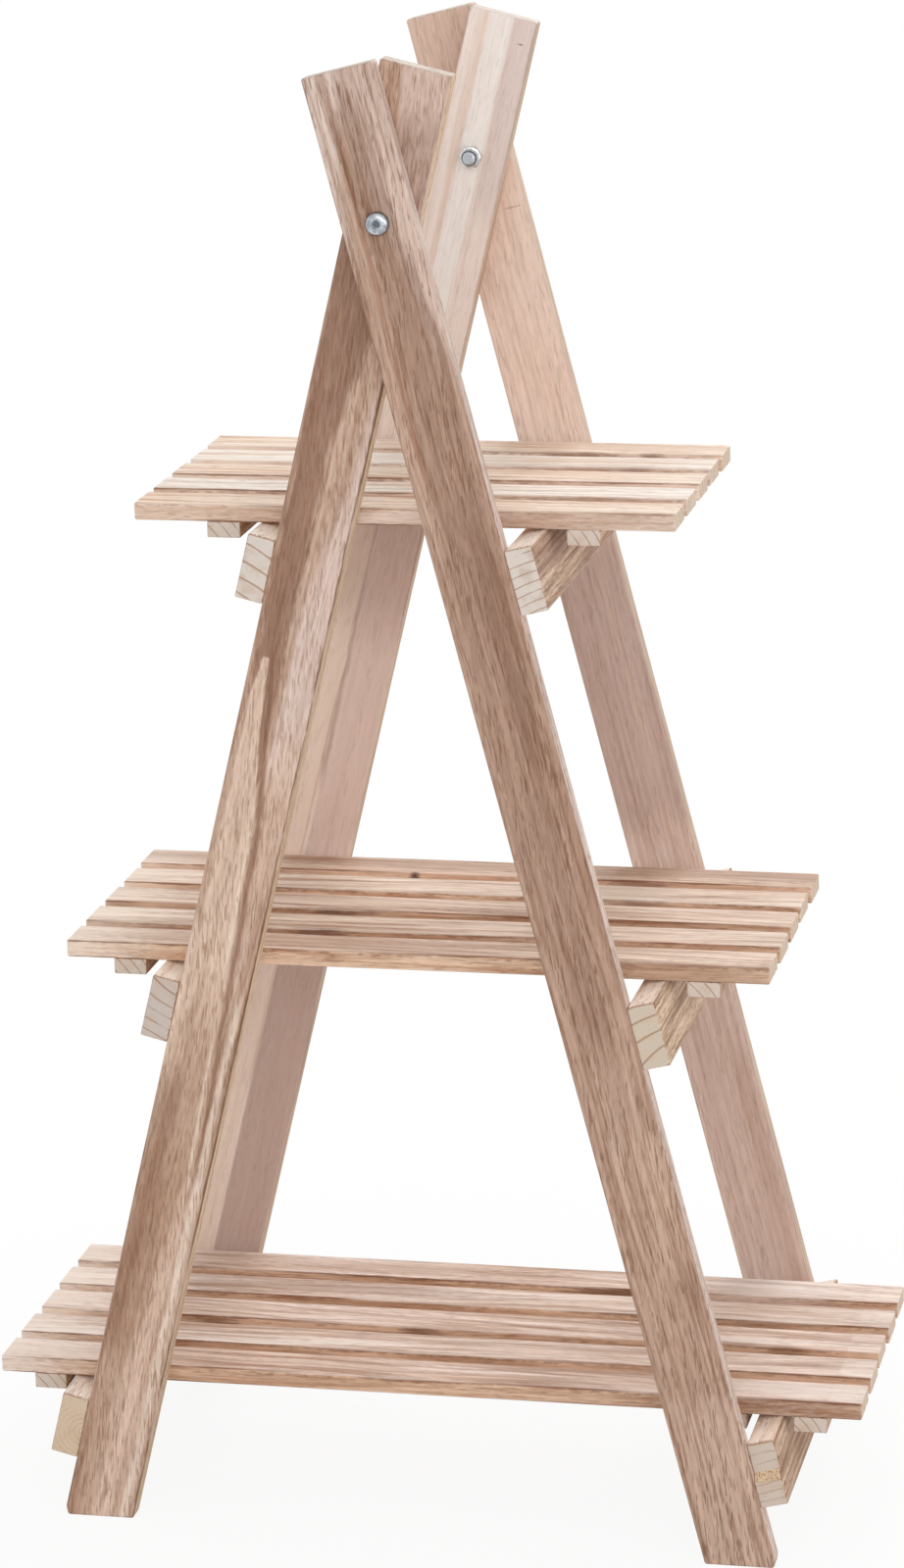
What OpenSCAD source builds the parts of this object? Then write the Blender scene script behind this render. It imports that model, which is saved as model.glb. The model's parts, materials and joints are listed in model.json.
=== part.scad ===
// Folding plant ladder: two ladder frames crossed on a pair of pivot bolts, with three slatted shelves.
// X runs along the shelves, Y from front to back, Z up. The origin is on the floor, in the middle below.

/* [Legs] */
// Width of a leg across its broad face
leg_w = 45; // [38:0.5:55]
// Thickness of a leg
leg_t = 14; // [11:0.5:20]
// Lean of the legs from upright when the stand is open, in degrees
lean = 14; // [11:0.5:17]
// Height of the pivot bolts above the floor
pivot_h = 849; // [760:1:1000]
// Length of leg above the pivot bolts
leg_top = 94; // [60:1:140]
// Chamfer on the long edges of a leg
leg_ease = 1.2; // [0.4:0.2:3]
// Width of the clipped outer corner of a foot, along the floor
foot_clip_w = 2.5; // [1:0.5:6]
// Height of the clipped outer corner of a foot, up the leg's edge
foot_clip_h = 6; // [2:0.5:12]

/* [Crossbars] */
// Thickness of a crossbar, outwards from the leg's edge
bar_t = 17.5; // [14:0.5:24]
// Height of a crossbar, along the leg
bar_h = 41; // [30:0.5:46]
// Distance from the pivot down the leg to the top of the highest crossbars
bar_drop = 210; // [160:1:215]
// Distance up the middle of the leg from the floor to the underside of the lowest crossbars
bar_foot_gap = 36; // [30:1:90]
// Set-back of the upper part of the bottom right crossbar's front end
bar_step_y = 5; // [2:0.5:7]
// Height of that set-back part
bar_step_h = 19; // [10:0.5:22]
// Height of the sloping ledge below it
bar_ledge_h = 5; // [2:0.5:7]
// How much the bottom right crossbar stops short of the rear outer leg's back face
bar_short = 8; // [2:0.5:9]

/* [Shelves] */
// Width of a slat
slat_w = 33; // [26:0.5:45]
// Thickness of a slat
slat_t = 11; // [9:0.5:16]
// Gap between slats
slat_gap = 12; // [6:0.5:18]
// Number of slats in a shelf
slat_n = 5; // [3:1:6]
// Chamfer on the long edges of a slat
slat_ease = 0.8; // [0.4:0.2:2]
// Width of a batten
batten_w = 21; // [16:0.5:26]
// Thickness of a batten
batten_t = 10; // [8:0.5:13]
// How far the slats of the top shelf reach past its battens
top_overhang = 46; // [20:1:80]
// How far the slats of the middle shelf reach past its battens
middle_overhang = 31; // [15:1:80]
// How far the slats of the bottom shelf reach past its outer battens
bottom_overhang = 22; // [10:1:80]

/* [Pivot bolts] */
// Shank diameter of a pivot bolt
bolt_d = 8; // [6:1:10]
// Diameter of the domed head
bolt_head_d = 14.6; // [13:0.2:20]
// Height of the domed head
bolt_head_h = 4.4; // [3:0.2:6]
// Hexagon socket in the head, across its flats
bolt_socket = 5; // [3:0.5:6]
// Depth of the hexagon socket
bolt_socket_deep = 2.6; // [1.5:0.1:2.8]
// Length of bolt that stands out of the nut
bolt_tip = 3.2; // [1.5:0.1:5]
// Lock nut, across its flats
nut_flats = 13; // [12.5:0.5:17]
// Height of the lock nut's hexagon
nut_hex_h = 5.4; // [4:0.1:8]
// Diameter of the lock nut's round collar
nut_collar_d = 11.4; // [11:0.2:12.4]
// Height of the lock nut's round collar
nut_collar_h = 2.6; // [1.5:0.1:4]

/* [Brads] */
// Shank diameter of a brad
brad_d = 1.8; // [1.4:0.1:2.4]
// Head diameter of a brad
brad_head_d = 2.8; // [2.6:0.1:4]
// Thickness of a brad's head
brad_head_t = 0.8; // [0.5:0.1:1.2]
// Length of the point of a brad
brad_point = 2.4; // [1:0.1:4]
// Width of a brad's blunt tip
brad_tip_d = 0.4; // [0.2:0.1:0.8]
// How deep a crossbar's brad goes into the leg
bar_brad_grip = 22; // [12:1:34]
// How deep a batten's brad goes into the slat
slat_brad_grip = 7.5; // [5:0.5:8]
// Spacing of the two brads at each end of a crossbar
bar_brad_pitch = 18; // [10:1:22]
// Spacing of the two brads where a slat crosses a batten, along the slat
slat_brad_dx = 8; // [4:0.5:10]
// Spacing of the two brads where a slat crosses a batten, across the slat
slat_brad_dy = 16; // [8:0.5:18]

/* [Clearances] */
// Gap between the crossing legs at each pivot
leg_gap = 0.4; // [0.2:0.1:1]
// Gap between the lock nut and the inner leg, which turns beside it
nut_play = 0.2; // [0.1:0.1:0.6]
// Radial clearance of a pivot bolt in the legs
bolt_play = 0.1; // [0.05:0.01:0.1]
// Radial clearance of a bolt's thread in its nut
thread_play = 0.02; // [0.01:0.01:0.05]
// Clearance around a brad
brad_play = 0.05; // [0.02:0.01:0.1]
// Gap between a shelf and the crossbar edges that carry it
seat_gap = 0.2; // [0.1:0.1:0.4]
// Space between the shelf and the inner leg on each side
shelf_side_play = 17; // [14:0.5:25]
// Space between the crossbars and the battens of the two upper shelves
upper_batten_play = 13; // [6:0.5:20]
// Space between the crossbars and the outer battens of the bottom shelf
bottom_batten_play = 7; // [5:0.5:12]
// Space between the bottom right crossbar and the inner batten beside it
inner_batten_play = 6; // [4:0.5:10]

/* [Hidden] */
SHELVES = ["top", "middle", "bottom"];
OUTER = -1; // the outer frame leans from top left to bottom right
INNER = 1; // the inner frame leans from top right to bottom left
LEFT = -1;
RIGHT = 1;
FRONT = -1;
REAR = 1;
BEYOND = 1; // how far a cut runs past the face it opens
ROUND = 48; // facets of a bolt
FINE = 24; // facets of a brad

brown_leg = [0.67, 0.53, 0.44];
dark_leg = [0.63, 0.49, 0.40];
pale_leg = [0.87, 0.79, 0.72];
pink_leg = [0.78, 0.67, 0.59];
bar_tan = [0.79, 0.70, 0.60];
slat_cream = [0.88, 0.78, 0.67];
slat_peach = [0.84, 0.70, 0.58];
batten_tan = [0.80, 0.70, 0.59];
zinc = [0.74, 0.76, 0.78];
wire_grey = [0.45, 0.43, 0.42];

slat_pitch = slat_w + slat_gap;
shelf_depth = slat_n * slat_w + (slat_n - 1) * slat_gap;
inner_depth = shelf_depth + 2 * shelf_side_play + 2 * leg_t;
outer_depth = inner_depth + 2 * leg_gap + 2 * leg_t;
inner_leg_y = inner_depth / 2 - leg_t / 2;
outer_leg_y = outer_depth / 2 - leg_t / 2;
leg_to_floor = pivot_h / cos(lean);
leg_below = leg_to_floor + leg_w / 2 * tan(lean);
bar_pitch = (leg_to_floor - bar_foot_gap - bar_h - bar_drop) / 2;
bolt_l = 2 * leg_t + leg_gap + nut_play + nut_hex_h + nut_collar_h + bolt_tip;
bar_brad_l = bar_t + bar_brad_grip;
slat_brad_l = batten_t + slat_brad_grip;
overhangs = [top_overhang, middle_overhang, bottom_overhang];

// Distance from the pivot down the leg to the upper face of crossbar k, where 0 is the highest.
function bar_top(k) = bar_drop + k * bar_pitch;

// Half the distance between the outer top edges of the two crossbars of tier k.
function bar_edge_x(k) = (leg_w / 2 + bar_t) * cos(lean) + bar_top(k) * sin(lean);

// Half the distance between the inner top edges of the two crossbars of tier k.
function bar_inner_x(k) = leg_w / 2 * cos(lean) + bar_top(k) * sin(lean);

// Height of the underside of the slats of shelf k, just above the crossbars' outer top edges.
function seat_z(k) = pivot_h + (leg_w / 2 + bar_t) * sin(lean) - bar_top(k) * cos(lean) + seat_gap;

// Inner face of the outer battens of shelf k.
function batten_x(k) = bar_edge_x(k) + (k == 2 ? bottom_batten_play : upper_batten_play);

// Half the length of the slats of shelf k.
function half_shelf(k) = batten_x(k) + batten_w + overhangs[k];

// Middle of slat i of a shelf, where 0 is at the front.
function slat_y(i) = -shelf_depth / 2 + slat_w / 2 + i * slat_pitch;

// Middles of the battens of shelf k along X.
function batten_middles(k) = concat(
    [-batten_x(k) - batten_w / 2, batten_x(k) + batten_w / 2],
    k == 2 ? [inner_batten_mid()] : []
);

// Middle of the bottom shelf's inner batten along X.
function inner_batten_mid() = bar_inner_x(2) - inner_batten_play - batten_w / 2;

// Places its children in a leg's own frame: pivot at the origin, Z up the leg, X across its broad face.
module along_leg(frame) {
    translate([0, 0, pivot_h])
        rotate([0, frame * lean, 0])
            children();
}

// Board of the given length along Z with chamfered long edges, standing on the origin.
module board(length, wide, thick, ease) {
    x = wide / 2;
    y = thick / 2;
    linear_extrude(length)
        polygon([
            [-x + ease, -y], [x - ease, -y], [x, -y + ease], [x, y - ease],
            [x - ease, y], [-x + ease, y], [-x, y - ease], [-x, -y + ease]
        ]);
}

// Brad with its head flush with the origin and its point at -Z. A play above 0 gives the hole it sits in.
module brad(length, play = 0) {
    shank = length - brad_point;
    translate([0, 0, -brad_head_t - play])
        cylinder(d = brad_head_d + 2 * play, h = brad_head_t + play + (play > 0 ? BEYOND : 0), $fn = FINE);
    translate([0, 0, -shank])
        cylinder(d = brad_d + 2 * play, h = shank - brad_head_t / 2, $fn = FINE);
    translate([0, 0, -length - play])
        cylinder(d1 = brad_tip_d + 2 * play, d2 = brad_d + 2 * play, h = brad_point + play, $fn = FINE);
}

// The brads of all the crossbars of one frame that enter the leg at leg_y.
module crossbar_brads(frame, leg_y, play = 0) {
    face_x = -frame * (leg_w / 2 + bar_t);
    along_leg(frame)
        for (k = [0:2])
            for (up = [-0.5, 0.5])
                translate([face_x, leg_y, -bar_top(k) - bar_h / 2 + up * bar_brad_pitch])
                    rotate([0, -frame * 90, 0])
                        brad(bar_brad_l, play);
}

// The brads of shelf k, driven up through its battens into the slats.
module slat_brads(k, play = 0) {
    for (x = batten_middles(k))
        for (i = [0:slat_n - 1])
            for (s = [-0.5, 0.5])
                translate([x + s * slat_brad_dx, slat_y(i) + s * slat_brad_dy, seat_z(k) - batten_t])
                    rotate([180, 0, 0])
                        brad(slat_brad_l, play);
}

// Wedge that clips the sharp outer corner of a foot.
module foot_clip(frame, leg_y) {
    corner_x = -frame * (pivot_h * tan(lean) + leg_w / 2 / cos(lean));
    low = [corner_x + frame * foot_clip_w, 0];
    high = [corner_x + frame * foot_clip_h * sin(lean), foot_clip_h * cos(lean)];
    past = [corner_x - frame * foot_clip_h, -foot_clip_h];
    translate([0, leg_y, 0])
        rotate([90, 0, 0])
            linear_extrude(leg_t + 2 * BEYOND, center = true)
                polygon([low + (low - high) / 2, high + (high - low) / 2, past]);
}

// Leg of either frame: top end square, foot cut level, bored for the pivot bolt and the crossbars' brads.
module leg(frame, leg_y) {
    floor_cut = 2 * pivot_h;
    difference() {
        along_leg(frame)
            translate([0, leg_y, -leg_below])
                board(leg_below + leg_top, leg_w, leg_t, leg_ease);
        translate([-floor_cut / 2, -floor_cut / 2, -floor_cut])
            cube(floor_cut);
        foot_clip(frame, leg_y);
        translate([0, leg_y, pivot_h])
            rotate([90, 0, 0])
                cylinder(d = bolt_d + 2 * bolt_play, h = leg_t + 2 * BEYOND, center = true, $fn = ROUND);
        crossbar_brads(frame, leg_y, brad_play);
    }
}

// Crossbar of tier k, fixed to the outer edges of both legs of its frame.
module crossbar(frame, k) {
    depth = frame == OUTER ? outer_depth : inner_depth;
    leg_y = frame == OUTER ? outer_leg_y : inner_leg_y;
    difference() {
        along_leg(frame)
            translate([-frame * (leg_w / 2 + bar_t / 2), 0, -bar_top(k) - bar_h / 2])
                cube([bar_t, depth, bar_h], center = true);
        crossbar_brads(frame, -leg_y, brad_play);
        crossbar_brads(frame, leg_y, brad_play);
        if (frame == OUTER && k == 2)
            crossbar_end_cuts();
    }
}

// The bottom right crossbar's front end has a step and a sloping ledge, and its back end is short.
module crossbar_end_cuts() {
    front = -outer_depth / 2;
    along_leg(OUTER)
        translate([leg_w / 2 - BEYOND, 0, -bar_top(2)]) {
            rotate([90, 0, 90])
                linear_extrude(bar_t + 2 * BEYOND)
                    polygon([
                        [front - BEYOND, BEYOND],
                        [front + bar_step_y, BEYOND],
                        [front + bar_step_y, -bar_step_h],
                        [front, -bar_step_h - bar_ledge_h],
                        [front - BEYOND, -bar_step_h - bar_ledge_h]
                    ]);
            translate([0, -front - bar_short, -bar_h - BEYOND])
                cube([bar_t + 2 * BEYOND, bar_short + BEYOND, bar_h + 2 * BEYOND]);
        }
}

// Slat i of shelf k.
module slat(k, i) {
    difference() {
        translate([-half_shelf(k), slat_y(i), seat_z(k) + slat_t / 2])
            rotate([90, 0, 90])
                board(2 * half_shelf(k), slat_w, slat_t, slat_ease);
        slat_brads(k, brad_play);
    }
}

// Batten under shelf k, with its middle at x.
module batten(k, x) {
    color(batten_tan)
        difference() {
            translate([x, 0, seat_z(k) - batten_t / 2])
                cube([batten_w, shelf_depth, batten_t], center = true);
            slat_brads(k, brad_play);
        }
}

// Profile of the domed head: a rim, an arc and a small flat around the socket.
function dome(steps = 8) = concat(
    [[0, 0], [bolt_head_d / 2, 0], [bolt_head_d / 2, bolt_head_h * 0.16]],
    [for (i = [1:steps]) [
        bolt_head_d / 2 - (bolt_head_d / 2 - bolt_socket * 0.8) * (1 - cos(90 * i / steps)),
        bolt_head_h * (0.16 + 0.84 * sin(90 * i / steps))
    ]],
    [[0, bolt_head_h]]
);

// Pivot bolt from the front (end = FRONT) or the back: domed head outside, shank through both legs.
module pivot_bolt(end) {
    color(zinc)
        translate([0, end * outer_depth / 2, pivot_h])
            rotate([end == FRONT ? 90 : -90, 0, 0]) {
                difference() {
                    rotate_extrude($fn = ROUND)
                        polygon(dome());
                    translate([0, 0, bolt_head_h - bolt_socket_deep])
                        cylinder(d = bolt_socket / cos(30), h = bolt_socket_deep + BEYOND, $fn = 6);
                }
                translate([0, 0, -bolt_l + bolt_d / 10])
                    cylinder(d = bolt_d, h = bolt_l - bolt_d / 10, $fn = ROUND);
                translate([0, 0, -bolt_l])
                    cylinder(d1 = bolt_d * 0.8, d2 = bolt_d, h = bolt_d / 10, $fn = ROUND);
            }
}

// Lock nut on the inner face of the inner leg: hexagon towards the leg, round collar inwards.
module lock_nut(end) {
    color(zinc)
        translate([0, end * (inner_depth / 2 - leg_t - nut_play), pivot_h])
            rotate([end == FRONT ? -90 : 90, 0, 0])
                difference() {
                    union() {
                        cylinder(d = nut_flats / cos(30), h = nut_hex_h, $fn = 6);
                        cylinder(d = nut_collar_d, h = nut_hex_h + nut_collar_h, $fn = ROUND);
                    }
                    translate([0, 0, -BEYOND])
                        cylinder(
                            d = bolt_d + 2 * thread_play,
                            h = nut_hex_h + nut_collar_h + 2 * BEYOND,
                            $fn = ROUND
                        );
                }
}

color(brown_leg) leg(OUTER, -outer_leg_y);  // front_outer_leg
color(pink_leg) leg(OUTER, outer_leg_y);  // rear_outer_leg
color(dark_leg) leg(INNER, -inner_leg_y);  // front_inner_leg
color(pale_leg) leg(INNER, inner_leg_y);  // rear_inner_leg
for (k = [0:2]) {
    color(bar_tan) crossbar(OUTER, k);
    color(bar_tan) crossbar(INNER, k);
    for (i = [1:slat_n])
        color(i % 2 == 0 ? slat_cream : slat_peach) slat(k, i - 1);
    batten(k, batten_middles(k)[0]);
    batten(k, batten_middles(k)[1]);
    color(wire_grey) slat_brads(k);
}
batten(2, inner_batten_mid());  // bottom_shelf_inner_batten
pivot_bolt(FRONT);  // front_pivot_bolt
pivot_bolt(REAR);  // rear_pivot_bolt
lock_nut(FRONT);  // front_lock_nut
lock_nut(REAR);  // rear_lock_nut
color(wire_grey) {  // outer_frame_brads
    crossbar_brads(OUTER, -outer_leg_y);
    crossbar_brads(OUTER, outer_leg_y);
}
color(wire_grey) {  // inner_frame_brads
    crossbar_brads(INNER, -inner_leg_y);
    crossbar_brads(INNER, inner_leg_y);
}
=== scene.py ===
"""The looks of a folding plant ladder stand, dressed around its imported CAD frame.

Every board is cut, eased and bored in its own directions, along, across and through its grain, and then
put where the frame has its solid. The slats and the brads are set out by Geometry Nodes. The wood is shaded
in each board's own directions too, so the grain runs with a leaning leg and the rings show on its ends.
"""

from __future__ import annotations

import dataclasses
import json
import logging
import math
from dataclasses import dataclass, field
from enum import Enum
from typing import Any, Callable, Sequence, Union

import bmesh
import bpy
from mathutils import Matrix, Vector

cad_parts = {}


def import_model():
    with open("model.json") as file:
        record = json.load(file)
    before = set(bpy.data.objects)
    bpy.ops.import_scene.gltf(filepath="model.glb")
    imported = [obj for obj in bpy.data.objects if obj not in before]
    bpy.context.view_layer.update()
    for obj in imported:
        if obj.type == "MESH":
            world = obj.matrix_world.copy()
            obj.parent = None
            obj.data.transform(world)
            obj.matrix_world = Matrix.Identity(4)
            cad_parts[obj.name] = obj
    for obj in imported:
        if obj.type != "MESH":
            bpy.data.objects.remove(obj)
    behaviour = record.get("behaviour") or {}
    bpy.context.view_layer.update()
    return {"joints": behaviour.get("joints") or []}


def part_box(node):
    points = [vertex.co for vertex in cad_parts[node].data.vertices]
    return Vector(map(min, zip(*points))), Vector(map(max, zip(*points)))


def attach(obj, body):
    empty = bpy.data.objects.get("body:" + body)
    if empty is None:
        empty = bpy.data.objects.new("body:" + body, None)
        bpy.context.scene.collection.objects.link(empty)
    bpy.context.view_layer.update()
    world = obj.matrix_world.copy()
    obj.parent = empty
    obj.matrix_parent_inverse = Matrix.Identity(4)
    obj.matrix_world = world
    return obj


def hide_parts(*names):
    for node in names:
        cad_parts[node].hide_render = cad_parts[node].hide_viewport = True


log = logging.getLogger("plant_ladder")

MM = 0.001
PHOTO_HEIGHT = 1600
LEAN = math.radians(14.0)

# Attributes that a board or a point of a nailing carries
GRAIN = "grain"
PIECE = "piece"
DRIVE = "drive"

WHITE = (1.0, 1.0, 1.0, 1.0)

Rgb = tuple[int, int, int]
Point = tuple[float, float]
Point3 = tuple[float, float, float]


class Frame(Enum):
    """The two ladder frames, by the way they lean seen from the front."""

    OUTER = -1
    INNER = 1

    @property
    def body(self) -> str:
        """Name of the CAD body."""
        return f"{self.name.lower()}_frame"

    @property
    def side(self) -> str:
        """The side its crossbars are on."""
        return "right" if self is Frame.OUTER else "left"


class End(Enum):
    """The two ends of the stand's depth."""

    FRONT = -1
    REAR = 1


class Tier(Enum):
    """The three shelves, from the top."""

    TOP = 0
    MIDDLE = 1
    BOTTOM = 2

    @property
    def body(self) -> str:
        """Name of the shelf's CAD body."""
        return f"{self.name.lower()}_shelf"


# ---------------------------------------------------------------------------------------------------------
# Node trees
# ---------------------------------------------------------------------------------------------------------


def operator(operation: str, swapped: bool = False) -> Callable[[Signal, Term], Signal]:
    """Make an arithmetic method of Signal.

    Args:
        operation: The operation of the Math node that it adds.
        swapped: Whether the signal stands on the right of the sign.

    Returns:
        The method.
    """

    def apply(signal: Signal, other: Term) -> Signal:
        """Add the Math node."""
        return signal.math(operation, *((other, signal) if swapped else (signal, other)))

    return apply


class Signal:
    """A value that varies over a surface. Python arithmetic on it adds Math nodes."""

    def __init__(self, tree: bpy.types.NodeTree, socket: bpy.types.NodeSocket) -> None:
        """Wrap an output socket."""
        self.tree = tree
        self.socket = socket

    def math(self, operation: str, *terms: Term) -> Signal:
        """Add one Math node.

        Args:
            operation: The node's operation.
            terms: What goes into its sockets, in order.

        Returns:
            The node's result.
        """
        node = self.tree.nodes.new("ShaderNodeMath")
        node.operation = operation
        for slot, term in zip(node.inputs, terms):
            if isinstance(term, Signal):
                self.tree.links.new(term.socket, slot)
            else:
                slot.default_value = term
        return Signal(self.tree, node.outputs[0])

    __add__, __radd__ = operator("ADD"), operator("ADD", swapped=True)
    __sub__, __rsub__ = operator("SUBTRACT"), operator("SUBTRACT", swapped=True)
    __mul__, __rmul__ = operator("MULTIPLY"), operator("MULTIPLY", swapped=True)
    __truediv__, __rtruediv__ = operator("DIVIDE"), operator("DIVIDE", swapped=True)
    most, least = operator("MAXIMUM"), operator("MINIMUM")

    def __abs__(self) -> Signal:
        """Size without its sign."""
        return self.math("ABSOLUTE", self)

    def root(self) -> Signal:
        """Square root."""
        return self.math("SQRT", self)

    def fraction(self) -> Signal:
        """What is left after the whole number."""
        return self.math("FRACT", self)


Term = Union[Signal, float]


def screen(red: int, green: int, blue: int) -> tuple[float, float, float, float]:
    """The linear colour of an 8-bit screen colour, none of whose channels is nearly black."""
    return tuple(((channel / 255 + 0.055) / 1.055) ** 2.4 for channel in (red, green, blue)) + (1.0,)


class Graph:
    """A node tree and the one way in which nodes are added to it."""

    def __init__(self, tree: bpy.types.NodeTree) -> None:
        """Take an empty or a cleared tree."""
        self.tree = tree

    def add(
        self, kind: str, settings: dict[str, Any] | None = None, inputs: dict[str | int, Any] | None = None
    ) -> bpy.types.Node:
        """Add any node.

        Args:
            kind: The node's type.
            settings: Its settings, which are set first.
            inputs: Values or links by a socket's identifier, name or number.

        Returns:
            The node.
        """
        node = self.tree.nodes.new(kind)
        for key, value in (settings or {}).items():
            setattr(node, key, value)
        for key, value in (inputs or {}).items():
            socket = self._socket(node.inputs, key)
            if isinstance(value, (Signal, bpy.types.NodeSocket)):
                self.tree.links.new(getattr(value, "socket", value), socket)
            else:
                socket.default_value = value
        return node

    @staticmethod
    def _socket(sockets: Any, key: str | int) -> bpy.types.NodeSocket:
        """Find a socket by identifier, name or number."""
        return next((socket for socket in sockets if socket.identifier == key), None) or sockets[key]

    def signal(self, node: bpy.types.Node, output: str | int = 0) -> Signal:
        """An output socket of a node as a value that takes part in arithmetic."""
        return Signal(self.tree, self._socket(node.outputs, output))

    def parts(self, vector: bpy.types.NodeSocket) -> tuple[Signal, Signal, Signal]:
        """The three values of a vector."""
        split = self.add("ShaderNodeSeparateXYZ", None, {0: vector})
        return self.signal(split, 0), self.signal(split, 1), self.signal(split, 2)

    def vector(self, x: Term, y: Term, z: Term) -> bpy.types.NodeSocket:
        """Put three values together."""
        return self.add("ShaderNodeCombineXYZ", None, {0: x, 1: y, 2: z}).outputs[0]

    def ramp(self, value: Signal, low: float, high: float, smooth: bool = True) -> Signal:
        """Map a value from low..high to 0..1, held at the ends.

        Args:
            value: What is mapped.
            low: Where the result is 0. It may lie above high.
            high: Where the result is 1.
            smooth: Whether the rise is eased.

        Returns:
            The mapped value.
        """
        if low > high:
            return 1.0 - self.ramp(value, high, low, smooth)
        settings = {"interpolation_type": "SMOOTHSTEP" if smooth else "LINEAR", "clamp": True}
        node = self.add("ShaderNodeMapRange", settings, {"Value": value, "From Min": low, "From Max": high})
        return self.signal(node)

    def noise(self, place: bpy.types.NodeSocket, scale: float = 1.0, detail: float = 2.0) -> Signal:
        """Plain noise at a place."""
        inputs = {"Vector": place, "Scale": scale, "Detail": detail}
        return self.signal(self.add("ShaderNodeTexNoise", None, inputs))

    def mix(self, first: Any, second: Any, share: Term) -> bpy.types.NodeSocket:
        """Mix two colours.

        Args:
            first: Colour where the share is 0, a socket or a screen colour.
            second: Colour where the share is 1.
            share: How much of the second.

        Returns:
            The colour's socket.
        """
        first, second = (screen(*tone) if isinstance(tone, tuple) else tone for tone in (first, second))
        inputs = {"Factor_Float": share, "A_Color": first, "B_Color": second}
        return self._socket(self.add("ShaderNodeMix", {"data_type": "RGBA"}, inputs).outputs, "Result_Color")

    def scale(self, colour: bpy.types.NodeSocket, by: Term) -> bpy.types.NodeSocket:
        """Make a colour lighter or darker."""
        return self.add("ShaderNodeVectorMath", {"operation": "SCALE"}, {0: colour, "Scale": by}).outputs[0]

    def tint(self, colour: bpy.types.NodeSocket, by: tuple[float, float, float]) -> bpy.types.NodeSocket:
        """Multiply a colour by another, channel by channel."""
        return self.add("ShaderNodeVectorMath", {"operation": "MULTIPLY"}, {0: colour, 1: by}).outputs[0]

    def bump(self, height: Signal, strength: float, distance: float) -> bpy.types.NodeSocket:
        """A normal that follows a height."""
        inputs = {"Strength": strength, "Distance": distance, "Height": height}
        return self.add("ShaderNodeBump", None, inputs).outputs[0]

    def surface(self, kind: str, inputs: dict[str | int, Any], output: str = "OutputMaterial") -> None:
        """Add the last shader and the output that shows it."""
        shader = self.add(kind, None, inputs)
        self.add(f"ShaderNode{output}", None, {"Surface": shader.outputs[0]})


def new_material(name: str) -> tuple[bpy.types.Material, Graph]:
    """Start a material with an empty node tree.

    Args:
        name: The material's name.

    Returns:
        The material, and the graph of its tree.
    """
    material = bpy.data.materials.new(name)
    material.use_nodes = True
    material.node_tree.nodes.clear()
    return material, Graph(material.node_tree)


# ---------------------------------------------------------------------------------------------------------
# Finishes
# ---------------------------------------------------------------------------------------------------------

BURN = (150, 96, 58)
LEDGE = (226, 198, 162)
STAIN = (0.60, 0.47, 0.38)  # what a dark fibre lets through of each channel
PIECE_SHIFT = 37.7  # how far a piece's pattern lies from that of the one before it
FADE_BEYOND = 90.0  # length over which a slat grows paler towards its step, in millimetres


@dataclass(frozen=True)
class Streak:
    """A band of another colour that runs along a board: the wood's figure, and on some legs also painted
    light and shade.

    Its stations are (along, across, half its width) in millimetres, in rising order along the board.
    """

    colour: Rgb
    stations: tuple[tuple[float, float, float], ...]
    share: float = 0.6
    soft: float = 1.5
    ragged: float = 2.0
    fade: float = 30.0


@dataclass(frozen=True)
class Mark:
    """An oval of another colour on a board: a knot, a check, a burn, a paler patch or a patch of painted
    light. Millimetres.

    It goes right through the board, so one on the edge of a face shows on the narrow face too.
    """

    along: float
    across: float
    long: float
    wide: float
    colour: Rgb
    share: float = 0.8
    piece: int | None = None


@dataclass(frozen=True)
class Rings:
    """Growth rings, by where the tree's pith lies off the board's middle. Millimetres."""

    across: float
    through: float
    slope: float
    width: float
    share: float
    waver: float


@dataclass(frozen=True)
class Faces:
    """Where a board's faces are in its own directions, in millimetres.

    The ends are low and high along it. Where the low end is cut at a slant, tilt is how far it moves along
    for each millimetre across. Where its upper part is cut back, back is how far, and ledge is where the
    slope between the two parts starts and stops across.
    """

    low: float
    high: float
    across: float
    through: float
    tilt: float = 0.0
    back: float = 0.0
    ledge: Point = (0.0, 0.0)


@dataclass(frozen=True)
class WoodFinish:
    """Bare sawn wood in one board's tone.

    The body colour runs to a pale and a deep one in bands along the board. Lines and flecks are its fibres,
    pores its fine dark dashes, and fringe is how much torn fibre hangs over the top of its narrow faces.
    Past the step the board is paler by the share beyond.
    """

    name: str
    faces: Faces
    pale: Rgb
    body: Rgb
    deep: Rgb
    seed: float
    rings: Rings
    pore: Rgb = (112, 74, 50)
    line: Rgb = (140, 98, 70)
    end: Rgb = (214, 200, 187)
    end_line: Rgb = (160, 122, 94)
    edge: Rgb = (205, 180, 154)
    edge_deep: Rgb = (170, 134, 106)
    arris: Rgb = (120, 86, 64)
    pores: float = 0.5
    pore_gate: float = 0.60
    bands: float = 0.6
    lines: float = 0.5
    flecks: float = 0.4
    fine: float = 1.0
    slant: float = 0.0
    edge_share: float = 0.5
    edge_calm: float = 0.0
    fringe: float = 0.0
    arris_share: float = 0.35
    scorch: float = 0.0
    streaks: tuple[Streak, ...] = ()
    marks: tuple[Mark, ...] = ()
    step: float = 0.0
    beyond: float = 0.0

    def material(self) -> bpy.types.Material:
        """Build the material, which reads the board's own directions from its grain attribute.

        Returns:
            The material.
        """
        material, graph = new_material(self.name)
        WoodShader(self, graph).build()
        return material


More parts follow.
